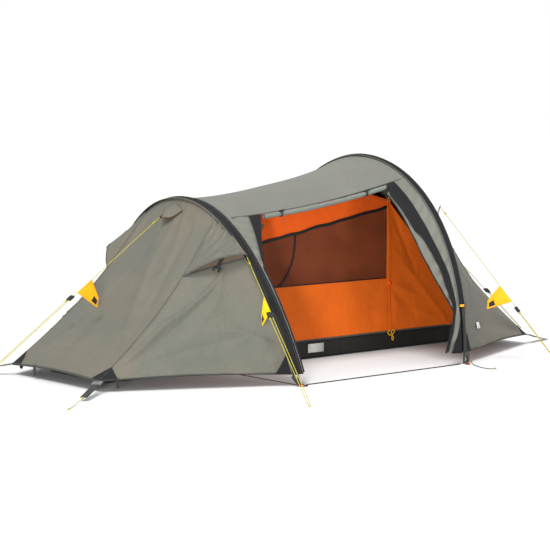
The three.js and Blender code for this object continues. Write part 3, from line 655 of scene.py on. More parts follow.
def pleats(along, from_edge, height, pitch, reach, seed):
    """Small gathers that start at a stitched edge, and lie flat under it."""
    beat = math.sin(along / pitch + 2.2 * noise.noise(Vector((along * 9, seed, 0))))
    swell = 0.55 + 0.45 * noise.noise(Vector((along * 14, seed + 4, 1)))
    past = max(0.0, from_edge)
    return height * beat * swell * math.exp(-past / reach) * min(1.0, past / 0.014)


def crease(point, path, height, width):
    """A sharp fold along a path of points on the cloth, that dies away to both sides and at its ends."""
    away = np.linalg.norm(path - np.array(point), axis=1)
    nearest = int(away.argmin())
    share = min(max(nearest / (len(path) - 1), 0.04), 0.96)
    return height * math.exp(-away[nearest] / width) * math.sin(math.pi * share) ** 0.4


def path_on(surface, places, steps=70):
    """Points on a surface along (p, q) places."""
    ps, qs = zip(*places)
    ticks = np.linspace(0, len(places) - 1, steps)
    where = range(len(places))
    ways = [(float(np.interp(t, where, ps)), float(np.interp(t, where, qs))) for t in ticks]
    return np.array([tuple(surface(p, q)) for p, q in ways])


EDGE_U = 0.016  # the cloth runs this far under a sleeve, as a share of the hoop spacing
UNDER_FOOT = EDGE_U * HOOP_SPACING - FOOT["sleeve_half"]
UNDER_HEAD = EDGE_U * HOOP_SPACING - HEAD["sleeve_half"]


def roof_folds(point, normal, p, q):
    length = q * 1.7
    near_foot = p * HOOP_SPACING + UNDER_FOOT
    near_head = (1 - p) * HOOP_SPACING + UNDER_HEAD
    slack = 0.0034 * wander(point, 2.2, 3.0) + 0.0020 * wander(point, 6.0, 5.0)
    run = 0.0026 * math.sin(length / 0.11 + 3 * wander(point, 1.6, 8.0)) * math.sin(math.pi * p) ** 0.5
    foot_gathers = pleats(length, near_foot, height=0.0030, pitch=0.012, reach=0.09, seed=1.0)
    head_gathers = pleats(length, near_head, height=0.0034, pitch=0.011, reach=0.10, seed=2.0)
    return slack + run + foot_gathers + head_gathers


def pin_and_settle(obj, slack=0.003, cap=0.006, frames=14):
    """Lets a pinned sheet hang a little under its own weight, no point moving further than cap."""
    across, down = obj["grid"]
    w = across + 1
    rim = [j * w + i for j in range(down + 1) for i in range(w) if i in (0, across) or j in (0, down)]
    group = obj.vertex_groups.new(name="pinned")
    group.add(rim, 1.0, "REPLACE")
    before = np.empty(len(obj.data.vertices) * 3)
    obj.data.vertices.foreach_get("co", before)
    modifier = obj.modifiers.new("cloth", "CLOTH")
    settings = modifier.settings
    settings.quality = 4
    settings.mass = 0.08
    settings.tension_stiffness = 12
    settings.compression_stiffness = 6
    settings.shear_stiffness = 4
    settings.bending_stiffness = 0.4
    settings.shrink_min = -slack
    settings.vertex_group_mass = "pinned"
    settings.effector_weights.gravity = 0.35
    scene = bpy.context.scene
    for step in range(1, frames + 1):
        scene.frame_set(step)
    graph = bpy.context.evaluated_depsgraph_get()
    made = obj.evaluated_get(graph).to_mesh()
    after = np.empty(len(before))
    made.vertices.foreach_get("co", after)
    obj.evaluated_get(graph).to_mesh_clear()
    obj.modifiers.remove(modifier)
    scene.frame_set(1)
    move = (after - before).reshape(-1, 3)
    size = np.maximum(np.linalg.norm(move, axis=1, keepdims=True), 1e-9)
    move *= np.minimum(1, cap / size)
    obj.data.vertices.foreach_set("co", (before.reshape(-1, 3) + move).ravel())
    obj.data.update()


def cloth_piece(obj, look, nodes, flat=None, area=None, settle=False, thick=0.0):
    """Dresses a sheet: settle lets it sag in a simulation, thick gives it a back, flat is not used."""
    finish_piece(obj, look, ROOT, nodes)
    if settle:
        pin_and_settle(obj)
    if thick:
        modifier = obj.modifiers.new("thickness", "SOLIDIFY")
        modifier.thickness = thick
        modifier.offset = 0


def low_edge(surface, steps=60):
    """Points along the edge of a surface where q is 1."""
    return [surface(share, 1.0) for share in shares(steps)]


def trim(name, points, width, thickness, look, lift=0.0015, slot="fly_cloth", facings=None):
    looks = facings or [outward(p) for p in points]
    raised = [p + f * lift for p, f in zip(points, looks)]
    return ribbon(name, raised, looks, width, thickness, look, smooth=1)


def roof_sheet(p, q):
    return roof(lerp(EDGE_U, 1 - EDGE_U, p), lerp(DOOR_TOP, 1, q))


cloth_piece(grid("fly_roof_cloth", roof_sheet, 84, 130, roof_folds), "fly", ["fly_roof"],
            flat=(1.08, 1.62), settle=True)

FOOT_STRIP_EDGE = [(0, 0.04), (0.226, 0.04), (0.276, 0.085), (0.317, 0.136), (0.366, 0.20)]
HEAD_STRIP_EDGE = [(0, 0.897), (0.027, 0.918), (0.051, 0.94), (0.075, 0.955), (0.102, 0.924), (0.141, 0.885),
                   (0.193, 0.855), (0.246, 0.847), (0.343, 0.847), (0.351, 0.876), (0.366, 0.876)]


def foot_strip(p, q):
    s = lerp(0, DOOR_TOP, q)
    return roof(lerp(EDGE_U, profile(FOOT_STRIP_EDGE, s), p), s)


def head_strip(p, q):
    s = lerp(0, DOOR_TOP, q)
    return roof(lerp(profile(HEAD_STRIP_EDGE, s), 1 - EDGE_U, p), s)


def strip_folds(point, normal, p, q):
    return 0.0014 * wander(point, 8.0, 2.0) + 0.0008 * wander(point, 22.0, 6.0)


def strip_pleats(to_sleeve):
    """Gathers of a door strip from its sleeve on; to_sleeve gives the distance past the sleeve's edge."""

    def shape(point, normal, p, q):
        away = to_sleeve(p, lerp(0, DOOR_TOP, q)) - 0.006
        gathers = pleats(q * 0.8 + away * 0.5, away, height=0.0090, pitch=0.010, reach=0.10, seed=3.0)
        return strip_folds(point, normal, p, q) + hump(p, 0.4) * gathers

    return shape


def past_foot_sleeve(p, s):
    return p * (profile(FOOT_STRIP_EDGE, s) - EDGE_U) * HOOP_SPACING + UNDER_FOOT


def past_head_sleeve(p, s):
    return (1 - p) * (1 - EDGE_U - profile(HEAD_STRIP_EDGE, s)) * HOOP_SPACING + UNDER_HEAD


for end, surface, past_sleeve, across, down, flat, area in [
    ("foot", foot_strip, past_foot_sleeve, 18, 110, (0.17, 0.86), 0.048),
    ("head", head_strip, past_head_sleeve, 20, 130, (0.17, 1.0), 0.12),
]:
    strip = grid(f"fly_strip_{end}_cloth", surface, across, down, strip_pleats(past_sleeve))
    cloth_piece(strip, "fly", [f"fly_door_strip_{end}"], flat=flat, area=area)

FLAP_LIFT = 0.0075
FOOT_FLAP = {
    "low": 0.245,
    "high": 0.363,
    "left": [(0.245, 0.044), (0.277, 0.068), (0.327, 0.106), (0.363, 0.133)],
    "right": [(0.245, 0.056), (0.276, 0.085), (0.317, 0.136), (0.363, 0.193)],
}
HEAD_FLAP = {
    "low": 0.004,
    "high": 0.363,
    "left": [(0.004, 0.893), (0.051, 0.931), (0.075, 0.949), (0.094, 0.943), (0.123, 0.927), (0.153, 0.92),
             (0.18, 0.906), (0.226, 0.883), (0.243, 0.862), (0.331, 0.851), (0.345, 0.862), (0.352, 0.876),
             (0.363, 0.878)],
    "right": [(0.004, 0.906), (0.038, 0.937), (0.086, 0.965), (0.114, 0.962), (0.147, 0.956), (0.177, 0.943),
              (0.213, 0.93), (0.269, 0.921), (0.363, 0.919)],
}


def flap(facts):
    def surface(p, q):
        s = lerp(facts["low"], facts["high"], q)
        return roof(lerp(profile(facts["left"], s), profile(facts["right"], s), p), s, FLAP_LIFT)

    return surface


for end, facts, down, flat, area in [("foot", FOOT_FLAP, 40, (0.07, 0.33), 0.011),
                                     ("head", HEAD_FLAP, 80, (0.07, 0.98), 0.038)]:
    sheet = grid(f"storm_flap_{end}_cloth", flap(facts), 8, down, strip_folds)
    cloth_piece(sheet, "sleeve", [f"storm_flap_{end}"], flat=flat, area=area,
                thick=0.0012)


class End:
    """One end of the flysheet: seams from the hoop to pegged corners, with slack cloth between them."""

    def __init__(self, edge, corner, seam_share, sag, side):
        self.edge, self.corner, self.seam_share, self.sag, self.side = edge, corner, seam_share, sag, side
        self.inward = Vector((-side, 0, -1)).normalized()

    def hoop_at(self, s):
        return self.edge.at(s) + Vector((self.side * 0.55 * self.edge.hoop["sleeve_half"], 0, 0))

    def sagged(self, point, q):
        return point + self.inward * (self.sag * math.sin(math.pi * q))

    def seam(self, q):
        return self.sagged(self.hoop_at(self.seam_share).lerp(self.corner, q), q)

    def raised(self, point, p, q):
        return point + UP * (0.012 * q * q * math.sin(math.pi * p))

    def centre(self, p, q):
        top = self.hoop_at(lerp(self.seam_share, 1 - self.seam_share, p))
        point = top.lerp(self.corner.lerp(mirrored(self.corner), p), q)
        return self.raised(self.sagged(point, q), p, q)

    def side_panel(self, seam_top, hoop_top):
        def surface(p, q):
            left = self.seam(lerp(seam_top, 1, q))
            return self.raised(left.lerp(self.hoop_at(lerp(hoop_top, 0, q)), p), p, q)

        return surface


foot_end = End(foot_edge, FOOT_CORNER, FOOT_SEAM, SEAM_SAG["foot"], -1)
head_end = End(head_edge, HEAD_CORNER, HEAD_SEAM, SEAM_SAG["head"], 1)


foot_side = foot_end.side_panel(VENT_SEAM, VENT)
head_side = head_end.side_panel(0.0, HEAD_SEAM)
# Folds that the guylines, the vent and the pegs pull across the end panels: (p, q) places, height and width.
FOOT_SIDE_FOLDS = [
    ([(0.646, 0.034), (0.147, 0.475), (0.0, 1.0)], 0.027, 0.018),
    ([(0.70, 0.03), (0.30, 0.42), (0.06, 0.90)], -0.013, 0.026),
    ([(0.62, 0.02), (0.55, 0.30), (0.38, 0.62)], 0.012, 0.020),
    ([(1.0, 0.80), (0.72, 0.62), (0.52, 0.60)], 0.014, 0.022),
    ([(0.0, 1.0), (0.45, 0.86), (0.97, 0.93)], 0.012, 0.018),
    ([(0.0, 1.0), (0.40, 0.74), (0.85, 0.66)], -0.011, 0.022),
]
FOOT_CENTRE_FOLDS = [
    ([(0.5, 0.16), (0.36, 0.42), (0.12, 0.80), (0.0, 1.0)], 0.012, 0.026),
    ([(0.42, 0.03), (0.40, 0.30), (0.24, 0.62)], 0.010, 0.020),
    ([(0.5, 0.16), (0.60, 0.50), (0.84, 0.82), (1.0, 1.0)], 0.012, 0.026),
    ([(0.0, 1.0), (0.3, 0.86), (0.7, 0.86), (1.0, 1.0)], -0.009, 0.026),
    ([(0.20, 0.10), (0.18, 0.40), (0.08, 0.72)], -0.010, 0.020),
]
HEAD_SIDE_FOLDS = [
    ([(0.0, 1.0), (0.35, 0.72), (0.95, 0.55)], 0.013, 0.026),
    ([(0.0, 1.0), (0.30, 0.55), (0.80, 0.25)], 0.011, 0.026),
    ([(0.0, 1.0), (0.50, 0.90), (1.0, 0.90)], -0.007, 0.024),
]
HEAD_CENTRE_FOLDS = [
    ([(0.5, 0.16), (0.30, 0.55), (0.0, 1.0)], 0.009, 0.032),
    ([(0.5, 0.16), (0.70, 0.55), (1.0, 1.0)], 0.009, 0.032),
    ([(0.0, 1.0), (0.35, 0.84), (0.65, 0.84), (1.0, 1.0)], -0.007, 0.032),
]


def calm_by(point, place, still, free):
    """0 closer to a place than still, rising to 1 at free: stiff cloth round a peg or a patch."""
    return min(1.0, max(0.0, ((point - place).length - still) / (free - still)))


def end_folds(corner, hoop_foot, tall, surface, folds):
    """Folds of an end panel: fans from its pegged corner and from the hoop's foot, creases, and slack."""
    creases = [(path_on(surface, places), height, width) for places, height, width in folds]

    def shape(point, normal, p, q):
        here = surface(p, q)
        near = Vector((here.x, -abs(here.y), here.z))
        height = fan(near, corner, folds=19, height=0.0060 * tall, reach=0.42, seed=1.0)
        height += fan(near, hoop_foot, folds=13, height=0.005, reach=0.26, seed=4.0)
        height += sum(crease(here, path, high, width) for path, high, width in creases)
        height += 0.0040 * wander(point, 3.0, 9.0) + 0.0022 * wander(point, 9.0, 2.0)
        at_corner = calm_by(near, corner, still=0.040, free=0.14)
        return height * at_corner * calm_by(near, hoop_foot, still=0.060, free=0.14)

    return shape


def seam_calm(shape):
    """Keeps a panel flat where it is sewn to the next one or to a sleeve."""

    def calm(point, normal, p, q):
        return shape(point, normal, p, q) * min(1.0, p / 0.06, (1 - p) / 0.06, q / 0.05)

    return calm


FOOT_PULL = (FOOT_CORNER, foot_edge.at(0), 1.0)
HEAD_PULL = (HEAD_CORNER, head_edge.at(0), 1.1)
foot_centre_shape = end_folds(*FOOT_PULL, foot_end.centre, FOOT_CENTRE_FOLDS)
head_centre_shape = end_folds(*HEAD_PULL, head_end.centre, HEAD_CENTRE_FOLDS)
foot_side_shape = end_folds(*FOOT_PULL, foot_side, FOOT_SIDE_FOLDS)
head_side_shape = end_folds(*HEAD_PULL, head_side, HEAD_SIDE_FOLDS)
PANELS = [
    ("foot_centre", foot_end.centre, foot_centre_shape, (0.70, 1.04), 0.60),
    ("head_centre", head_end.centre, head_centre_shape, (0.95, 1.18), 0.92),
    ("foot_near", foot_side, foot_side_shape, (0.90, 0.66), 0.34),
    ("foot_far", on_far_side(foot_side), foot_side_shape, (0.90, 0.66), 0.34),
    ("head_near", head_side, head_side_shape, (0.86, 1.16), 0.46),
    ("head_far", on_far_side(head_side), head_side_shape, (0.86, 1.16), 0.46),
]
# The end panels take the fly cloth painted darker, as painted shade, with the warm painted glow of the inner
# in its blotches.
for panel, surface, shape, flat, area in PANELS:
    sheet = grid(f"fly_{panel}_cloth", surface, 64, 72, seam_calm(shape))
    cloth_piece(sheet, "painted_shade_fly_end", [f"fly_{panel}_panel"], flat=flat, area=area,
                settle=True)


# How far the open edge of a hood stands up, from its seam to its hoop: steep to the prop, then nearly level.
HOOD_RISE = [(0, 0), (0.1, 0.42), (0.25, 0.80), (0.40, 1.08), (0.46, 1.12), (0.62, 1.02), (0.8, 0.86),
             (0.93, 0.52), (1, 0)]


def hood_surface(p, q):
    left = foot_end.seam(VENT_SEAM * q)
    right = foot_end.hoop_at(lerp(FOOT_SEAM, VENT, q))
    return left.lerp(right, p) + HOOD_LIFT * (profile(HOOD_RISE, p) * q * q)


def hood_folds(point, normal, p, q):
    away = (1 - p) * 0.2
    gathers = pleats(q * 0.3 - away * 0.8, away - 0.022, height=0.0115, pitch=0.012, reach=0.13, seed=6.0)
    return hump(p, 0.5) * (gathers + 0.0035 * wander(point, 12.0, 4.0))


# The hoods take the same darker end cloth: painted shade.
for side, turn_over in TURNED:
    hood = grid(f"vent_hood_{side}_cloth", turn_over(hood_surface), 44, 60, hood_folds)
    cloth_piece(hood, "painted_shade_fly_end", [f"vent_hood_{side}"], flat=(0.36, 0.32), area=0.05,
                thick=0.0008)


def vent_opening(p, q):
    """The netting under a hood, drawn flat between the seam and the hoop."""
    down = lerp(0.25, 1, q)
    left = foot_end.seam(VENT_SEAM * down)
    right = foot_end.hoop_at(lerp(FOOT_SEAM, VENT, down))
    return left.lerp(right, p) + Vector((0, 0.012, -0.010)) * (math.sin(math.pi * p) * (1 - q))


# Under each hood sits a netting sheet whose brown-grey colour is painted shade.
for side, turn_over in TURNED:
    surface = turn_over(vent_opening)
    cloth_piece(grid(f"vent_netting_painted_shade_{side}", surface, 24, 24, strip_folds), "vent", [])
    trim(f"vent_binding_{side}", low_edge(surface, 24), 0.012, 0.0016, "fly_inside", 0.001)


# ------------------------------------------------------------------ seams, hems and trim
def end_facing(end, points):
    return [(outward(p) + Vector((end.side * 0.9, 0, 0.3))).normalized() for p in points]


HEM = (0.009, 0.0018, "hem", 0)  # width, thickness, look, lift
for label, end in (("foot", foot_end), ("head", head_end)):
    near = [end.seam(share) for share in shares(60)]
    for side, points in (("near", near), ("far", [mirrored(p) for p in near])):
        trim(f"seam_{label}_{side}", points, 0.0032, 0.0012, "seam", 0.0006, facings=end_facing(end, points))
    trim(f"hem_{label}_centre", low_edge(end.centre), *HEM, facings=[Vector((end.side, 0, 0.4))] * 61)

for panel, surface, *row in PANELS[2:]:
    trim("hem_" + panel, low_edge(surface), *HEM)

trim("hem_roof_far", low_edge(roof_sheet), *HEM)
for side, turn_over in TURNED:
    trim(f"vent_hood_{side}_edge", low_edge(turn_over(hood_surface), 24), 0.009, 0.0018, "fly_inside", 0)

# Light piping runs beside each sleeve.
for label, arc in (("foot", foot_sleeve), ("head", head_sleeve)):
    for side_name, side in (("foot", -1), ("head", 1)):
        beside = Vector((side * (arc.hoop["sleeve_half"] + 0.0016), 0, 0))
        line = [arc.at(share) + beside for share in shares(110)]
        trim(f"piping_{label}_{side_name}_side", line, 0.0036, 0.0030, "piping", 0.0005,
             facings=[arc.normal(share) for share in shares(110)])


def zip_line(name, points):
    """A zip left open along an edge: its tape, and a raised row of coils on it."""
    trim(name + "_tape", points, 0.009, 0.0014, "zip", 0.0006)
    travelled = np.cumsum([0] + [(b - a).length for a, b in zip(points, points[1:])]) / length_of(points)
    coords = np.array([tuple(p) for p in points])
    row = []
    for k, share in enumerate(shares(260)):
        here = Vector([float(np.interp(share, travelled, coords[:, c])) for c in range(3)])
        row.append(here + outward(here) * (0.0022 + 0.0006 * (k % 2)))
    tube_mesh(name + "_coil", row, 0.0016, 6, "plastic")


for end, edge in (("foot", FOOT_STRIP_EDGE), ("head", HEAD_STRIP_EDGE)):
    zip_line(f"door_zip_{end}", [roof(profile(edge, s), s) for s in np.linspace(0, DOOR_TOP, 60)])
door_top = [roof(lerp(0.05, 0.95, share), DOOR_TOP) for share in shares(60)]
trim("door_top_seam", door_top, 0.006, 0.0014, "fly_inside", 0.002)

# ------------------------------------------------------------------ the rolled-up door
ROLL = {"from": 0.212, "to": 0.866, "radius": 0.0125, "drop": 0.0085}
DOOR_TIES = (("foot", 0.30), ("head", 0.76))
TIE_RADIUS = 0.0135


def roll_centre(u):
    return roof(u, DOOR_TOP - ROLL["drop"])


def roll_axes(u, before):
    """The roll's centre at u, and the directions outward and round it."""
    centre = roll_centre(u)
    out = outward(centre)
    return centre, out, (roll_centre(u + 0.01) - before).cross(out).normalized()


def door_roll():
    """A roll of cloth: a spiral drawn out along the door's top, with creases that wind round it."""
    turns, ring, steps = 2.6, 46, 90
    verts, uvs = [], []
    for t in shares(steps):
        u = lerp(ROLL["from"], ROLL["to"], t)
        centre, out, side = roll_axes(u, roll_centre(u - 0.01))
        tied = sum(math.exp(-(((u - tie) / 0.018) ** 2)) for _, tie in DOOR_TIES)
        for share in shares(ring):
            angle = 2 * math.pi * turns * share - 1.9
            radius = ROLL["radius"] * (0.32 + 0.68 * share) * (1 - 0.16 * tied)
            radius += 0.0011 * noise.noise(Vector((t * 30, math.cos(angle) * 1.4, math.sin(angle) * 1.4)))
            radius += 0.0006 * math.sin(t * 60 + angle * 1.5) * share
            verts.append(centre + out * (radius * math.sin(angle)) + side * (radius * math.cos(angle)))
            uvs.append((t * 0.75, share * 0.4))
    obj = make_mesh("door_roll_cloth", verts, lattice_faces(ring, steps), uvs)
    cloth_piece(obj, "fly_roll", ["rolled_door"], thick=0.0006)


door_roll()
for label, u in DOOR_TIES:
    centre, out, side = roll_axes(u, roll_centre(u))
    loop = circle(centre, side * TIE_RADIUS, out * TIE_RADIUS, 24)
    ribbon(f"door_tie_{label}", loop, [p - centre for p in loop], 0.010, 0.0010, "webbing", smooth=1)
    hang = centre + out * 0.006 - UP * 0.012
    tail = [hang, hang + Vector((0.006, -0.004, -0.014)), hang + Vector((0.020, -0.002, -0.030))]
    ribbon(f"door_tie_tail_{label}", tail, out, 0.007, 0.0012, "webbing_light", smooth=6)


# ------------------------------------------------------------------ patches, loops and small trim
def patch(name, surface, tip, base_p, rise, lift=0.004, base_q=1.0):
    """A triangle of stronger cloth sewn on a panel: a (p, q) tip, and a base between two p on base_q."""

    def cover(p, q):
        point = surface(lerp(tip[0], lerp(*base_p, p), q), lerp(tip[1], base_q, q))
        return point + (outward(point) + rise).normalized() * lift

    cloth_piece(grid(name, cover, 14, 14), "sleeve", [], thick=0.0010)


FOOT_WARD = Vector((-0.7, 0, 0.2))
HEAD_WARD = Vector((0.7, 0, 0.2))
for side, turn_over in TURNED:
    foot_panel, head_panel = turn_over(foot_side), turn_over(head_side)
    corner_p, inside_p = (0.0, 0.10) if side == "near" else (1.0, 0.90)
    patch(f"corner_patch_foot_{side}", foot_panel, (0.0, 0.86), (0.0, 0.10), FOOT_WARD)
    patch(f"corner_patch_foot_end_{side}", foot_end.centre, (corner_p, 0.90), (corner_p, inside_p), FOOT_WARD)
    patch(f"corner_patch_head_{side}", head_panel, (0.0, 0.93), (0.0, 0.06), HEAD_WARD)
    patch(f"hoop_patch_foot_{side}", foot_panel, (0.985, 0.84), (0.985, 0.90), FOOT_WARD)
    patch(f"hoop_patch_head_{side}", head_panel, (0.985, 0.90), (0.985, 0.93), HEAD_WARD)
patch("hoop_patch_door", head_strip, (0.98, 0.19), (0.98, 0.30), Vector((0, 0, 0)), lift=0.006, base_q=0.0)


def hem_loop(name, point, facing, drop=0.042):
    """A peg loop of thin webbing that hangs from the hem."""
    side = facing.cross(UP).normalized() * 0.005
    top, low = UP * 0.006, UP * drop * 0.7
    path = [point + side + top, point + side - low, point - UP * drop, point - side - low, point - side + top]
    ribbon(name, path, facing, 0.010, 0.0014, "webbing", smooth=6)


hem_loop("hem_loop_foot_end", foot_end.centre(0.73, 1.0), Vector((-1, 0, 0)))
for side, turn_over in TURNED:
    place = turn_over(foot_side)(0.095, 1.0)
    hem_loop(f"hem_loop_foot_{side}", place, Vector((0, place.y, 0)).normalized(), 0.034)

# The tall hoop's near foot: the sleeve ends in a bright band, and webbing runs down beside the bare pole.
sleeve_end = head_sleeve.at(0)
ring = circle(sleeve_end, Vector((0.0135, 0, 0)), Vector((0, 0.0100, 0)), 24)
ribbon("sleeve_end_band", ring, [p - sleeve_end for p in ring], 0.010, 0.0012, "pouch",
       smooth=1)
foot_of_pole = Vector((HEAD["x"] + 0.016, -HEAD["half_width"] - 0.004, 0.030))
slack_web = [sleeve_end + Vector((0.010, -0.003, 0.004)),
             sleeve_end.lerp(foot_of_pole, 0.5) + Vector((-0.004, -0.006, 0)), foot_of_pole]
ribbon("sleeve_end_webbing", slack_web, Vector((0.2, -1, 0.1)), 0.018, 0.0014, "webbing", smooth=12)

# Webbing loops that the near guylines are tied to.
LONGEST_LOOP = 0.09
for name, sleeve, share in (("foot_near", foot_sleeve, 0.253), ("head_near", head_sleeve, 0.190)):
    start = Vector(GUYLINES[name]["start"])
    reach = sleeve.at(share) + sleeve.normal(share) * 0.008 - start
    anchor = start + reach.normalized() * min(reach.length, LONGEST_LOOP)
    loop = [anchor + Vector((0, 0.002, 0.012)), start + Vector((0, -0.002, 0.003)),
            anchor + Vector((0, 0.002, -0.016))]
    ribbon(f"guy_loop_{name}", loop, Vector((0.9, -0.4, 0)), 0.007, 0.0016, "zip", smooth=10)


def label_cover(p, q):
    point = head_side(lerp(0.715, 0.772, p), lerp(0.872, 0.905, q))
    return point + (outward(point) + HEAD_WARD * 0.5).normalized() * 0.0045


cloth_piece(grid("panel_label", label_cover, 6, 4), "label", [], thick=0.0006)

# ------------------------------------------------------------------ inner tent
FLOOR = [(-1.150, INNER_Y), (1.130, INNER_Y), (1.130, 0.400), (0.490, 0.650), (-0.480, 0.640),
         (-1.150, 0.300)]
WALL_TOP = [(-1.146, 0.128), (-0.560, 0.690), (-0.240, 0.750), (0.470, 0.800), (0.600, 0.768),
            (1.126, 0.222)]
WINDOW = {"left": -0.450, "right": 0.590, "top": [(-0.450, 0.554), (0.590, 0.732)]}


def tub():
    """A tray of coated cloth: a floor, and walls that bow a little between their corners."""
    verts, uvs, faces = [], [], []
    ring = []
    for a, b in zip(FLOOR, FLOOR[1:] + FLOOR[:1]):
        ring += [(lerp(a[0], b[0], share), lerp(a[1], b[1], share)) for share in shares(26)[:-1]]
    rows = 6
    travelled = 0.0
    for i, (x, y) in enumerate(ring):
        if i:
            travelled += math.hypot(x - ring[i - 1][0], y - ring[i - 1][1])
        for j in range(rows + 1):
            z = lerp(0.0035, TUB_HEIGHT, j / rows)
            bow = 0.0012 * noise.noise(Vector((x * 7, y * 7, z * 18))) * math.sin(math.pi * j / rows)
            shrink = 1 - 0.0015 + bow
            verts.append(Vector((x * shrink, (y - 0.2) * shrink + 0.2, z)))
            uvs.append((travelled, z))
    n = rows + 1
    total = len(ring)
    for i in range(total):
        for j in range(rows):
            a, b = i * n + j, ((i + 1) % total) * n + j
            faces.append((a, b, b + 1, a + 1))
    base = len(verts)
    for i in range(total):
        verts.append(verts[i * n].copy())
        uvs.append((verts[-1].x, verts[-1].y))
    faces.append(tuple(range(base, base + total)))
    cloth_piece(make_mesh("inner_tub_cloth", verts, faces, uvs), "floor", ["inner_floor_tub"],
                thick=0.0010)


tub()


def ridge(point, a, b, height, width):
    """A sharp fold pulled straight from a to b."""
    along = b - a
    share = max(0.0, min(1.0, (point - a).dot(along) / along.length_squared))
    distance = (point - a - along * share).length
    return height * math.exp(-distance / width) * math.sin(math.pi * min(max(share, 0.04), 0.96)) ** 0.5


# Creases that run out of the tie point on the wall and up from its far corner.
TIE = (0.609, INNER_Y, 0.34)
WALL_CREASES = [(TIE, (0.834, INNER_Y, 0.255), 0.007), (TIE, (0.80, INNER_Y, 0.16), -0.006),
                (TIE, (0.90, INNER_Y, 0.33), -0.005), ((1.05, INNER_Y, 0.10), (0.70, INNER_Y, 0.45), 0.008),
                ((1.05, INNER_Y, 0.10), (0.66, INNER_Y, 0.24), 0.006), ((0.60, INNER_Y, 0.76), TIE, 0.004),
                ((0.62, INNER_Y, 0.10), TIE, -0.004), ((0.60, INNER_Y, 0.76), (0.80, INNER_Y, 0.40), -0.006)]


def wall_sheet(name, left, right, low, high, look, nodes=(), across=60, down=20):
    """Part of the upright wall behind the door, between two heights that may change along it."""

    def surface(p, q):
        x = lerp(left, right, p)
        z = lerp(low(x), high(x), q)
        return Vector((x, INNER_Y, z))

    def folds(point, normal, p, q):
        hang = 0.0016 * math.sin(point.x / 0.045 + 3 * wander(point, 2.4, 2.0)) * math.sin(math.pi * q)
        if point.x > 0.5:
            creases = [ridge(point, Vector(a), Vector(b), depth, 0.016) for a, b, depth in WALL_CREASES]
            hang += 1.2 * sum(creases)
        return hang + 0.0012 * wander(point, 7.0, 4.0) * math.sin(math.pi * q)

    cloth_piece(grid(name, surface, across, down, folds), look, nodes)


def wall_top(x):
    return profile(WALL_TOP, x)


def window_top(x):
    return profile(WINDOW["top"], x)


def sill(x):
    return SILL


def wall_over_sill(x):
    return max(SILL, wall_top(x))


wall_sheet("inner_wall_low", -1.146, 1.126, lambda x: TUB_HEIGHT, lambda x: min(SILL, wall_top(x)), "inner",
           ["inner_near_wall"], 160, 24)
# Painted shade: the band above the window takes the darker orange.
wall_sheet("inner_wall_band", WINDOW["left"], WINDOW["right"], window_top, wall_top, "inner_shade_and_seam", (), 80, 14)
wall_sheet("inner_wall_foot", -0.896, WINDOW["left"], sill, wall_over_sill, "inner")
wall_sheet("inner_wall_head", WINDOW["right"], 0.986, sill, wall_over_sill, "inner")
wall_sheet("inner_window_netting", WINDOW["left"], WINDOW["right"], sill, window_top, "netting",
           ["inner_mesh_door"], 80, 40)


def bezier(a, b, c, d, t):
    s = 1 - t
    return a * (s * s * s) + b * (3 * s * s * t) + c * (3 * s * t * t) + d * (t * t * t)


def inner_arch(x, t):
    rise = (x + 0.560) / 1.160
    start = Vector((x, INNER_Y + 0.001, wall_top(x) - 0.002))
    return bezier(start, Vector((x, lerp(0.150, 0.200, rise), lerp(0.765, 0.900, rise))),
                  Vector((x, lerp(0.560, 0.630, rise), lerp(0.560, 0.660, rise))),
                  Vector((x, lerp(0.638, 0.648, rise), TUB_HEIGHT + 0.003)), t)


def inner_folds(point, normal, p, q):
    edge = math.sin(math.pi * p) * math.sin(math.pi * q)
    return (0.004 * wander(point, 3.0, 1.0) + 0.002 * wander(point, 9.0, 7.0)) * edge


def along_points(points, share):
    steps = [(b - a).length for a, b in zip(points, points[1:])]
    left = share * sum(steps)
    for (a, b), step in zip(zip(points, points[1:]), steps):
        if left <= step or b is points[-1]:
            return a.lerp(b, min(left / step, 1))
        left -= step
    return points[-1]


def inner_end(x, base):
    return lambda p, q: inner_arch(x, p).lerp(along_points(base, p), q)


TUB_TOP = TUB_HEIGHT + 0.001
FOOT_BASE = [Vector((-1.145, INNER_Y, 0.126)), Vector((-1.148, 0.299, TUB_TOP)),
             Vector((-0.560, 0.638, TUB_TOP))]
HEAD_BASE = [Vector((1.125, INNER_Y, 0.220)), Vector((1.129, 0.399, TUB_TOP)),
             Vector((0.600, 0.648, TUB_TOP))]
cloth_piece(grid("inner_roof_cloth", lambda p, q: inner_arch(lerp(-0.560, 0.600, p), q), 40, 60, inner_folds),
            "inner", ["inner_roof"])
for end, x, base in (("foot", -0.560, FOOT_BASE), ("head", 0.600, HEAD_BASE)):
    sheet = grid(f"inner_{end}_cloth", inner_end(x, base), 60, 34, inner_folds)
    cloth_piece(sheet, "inner", [f"inner_{end}_end"])


def on_wall(pairs, out=0.002):
    return [Vector((x, INNER_Y - out, z)) for x, z in pairs]


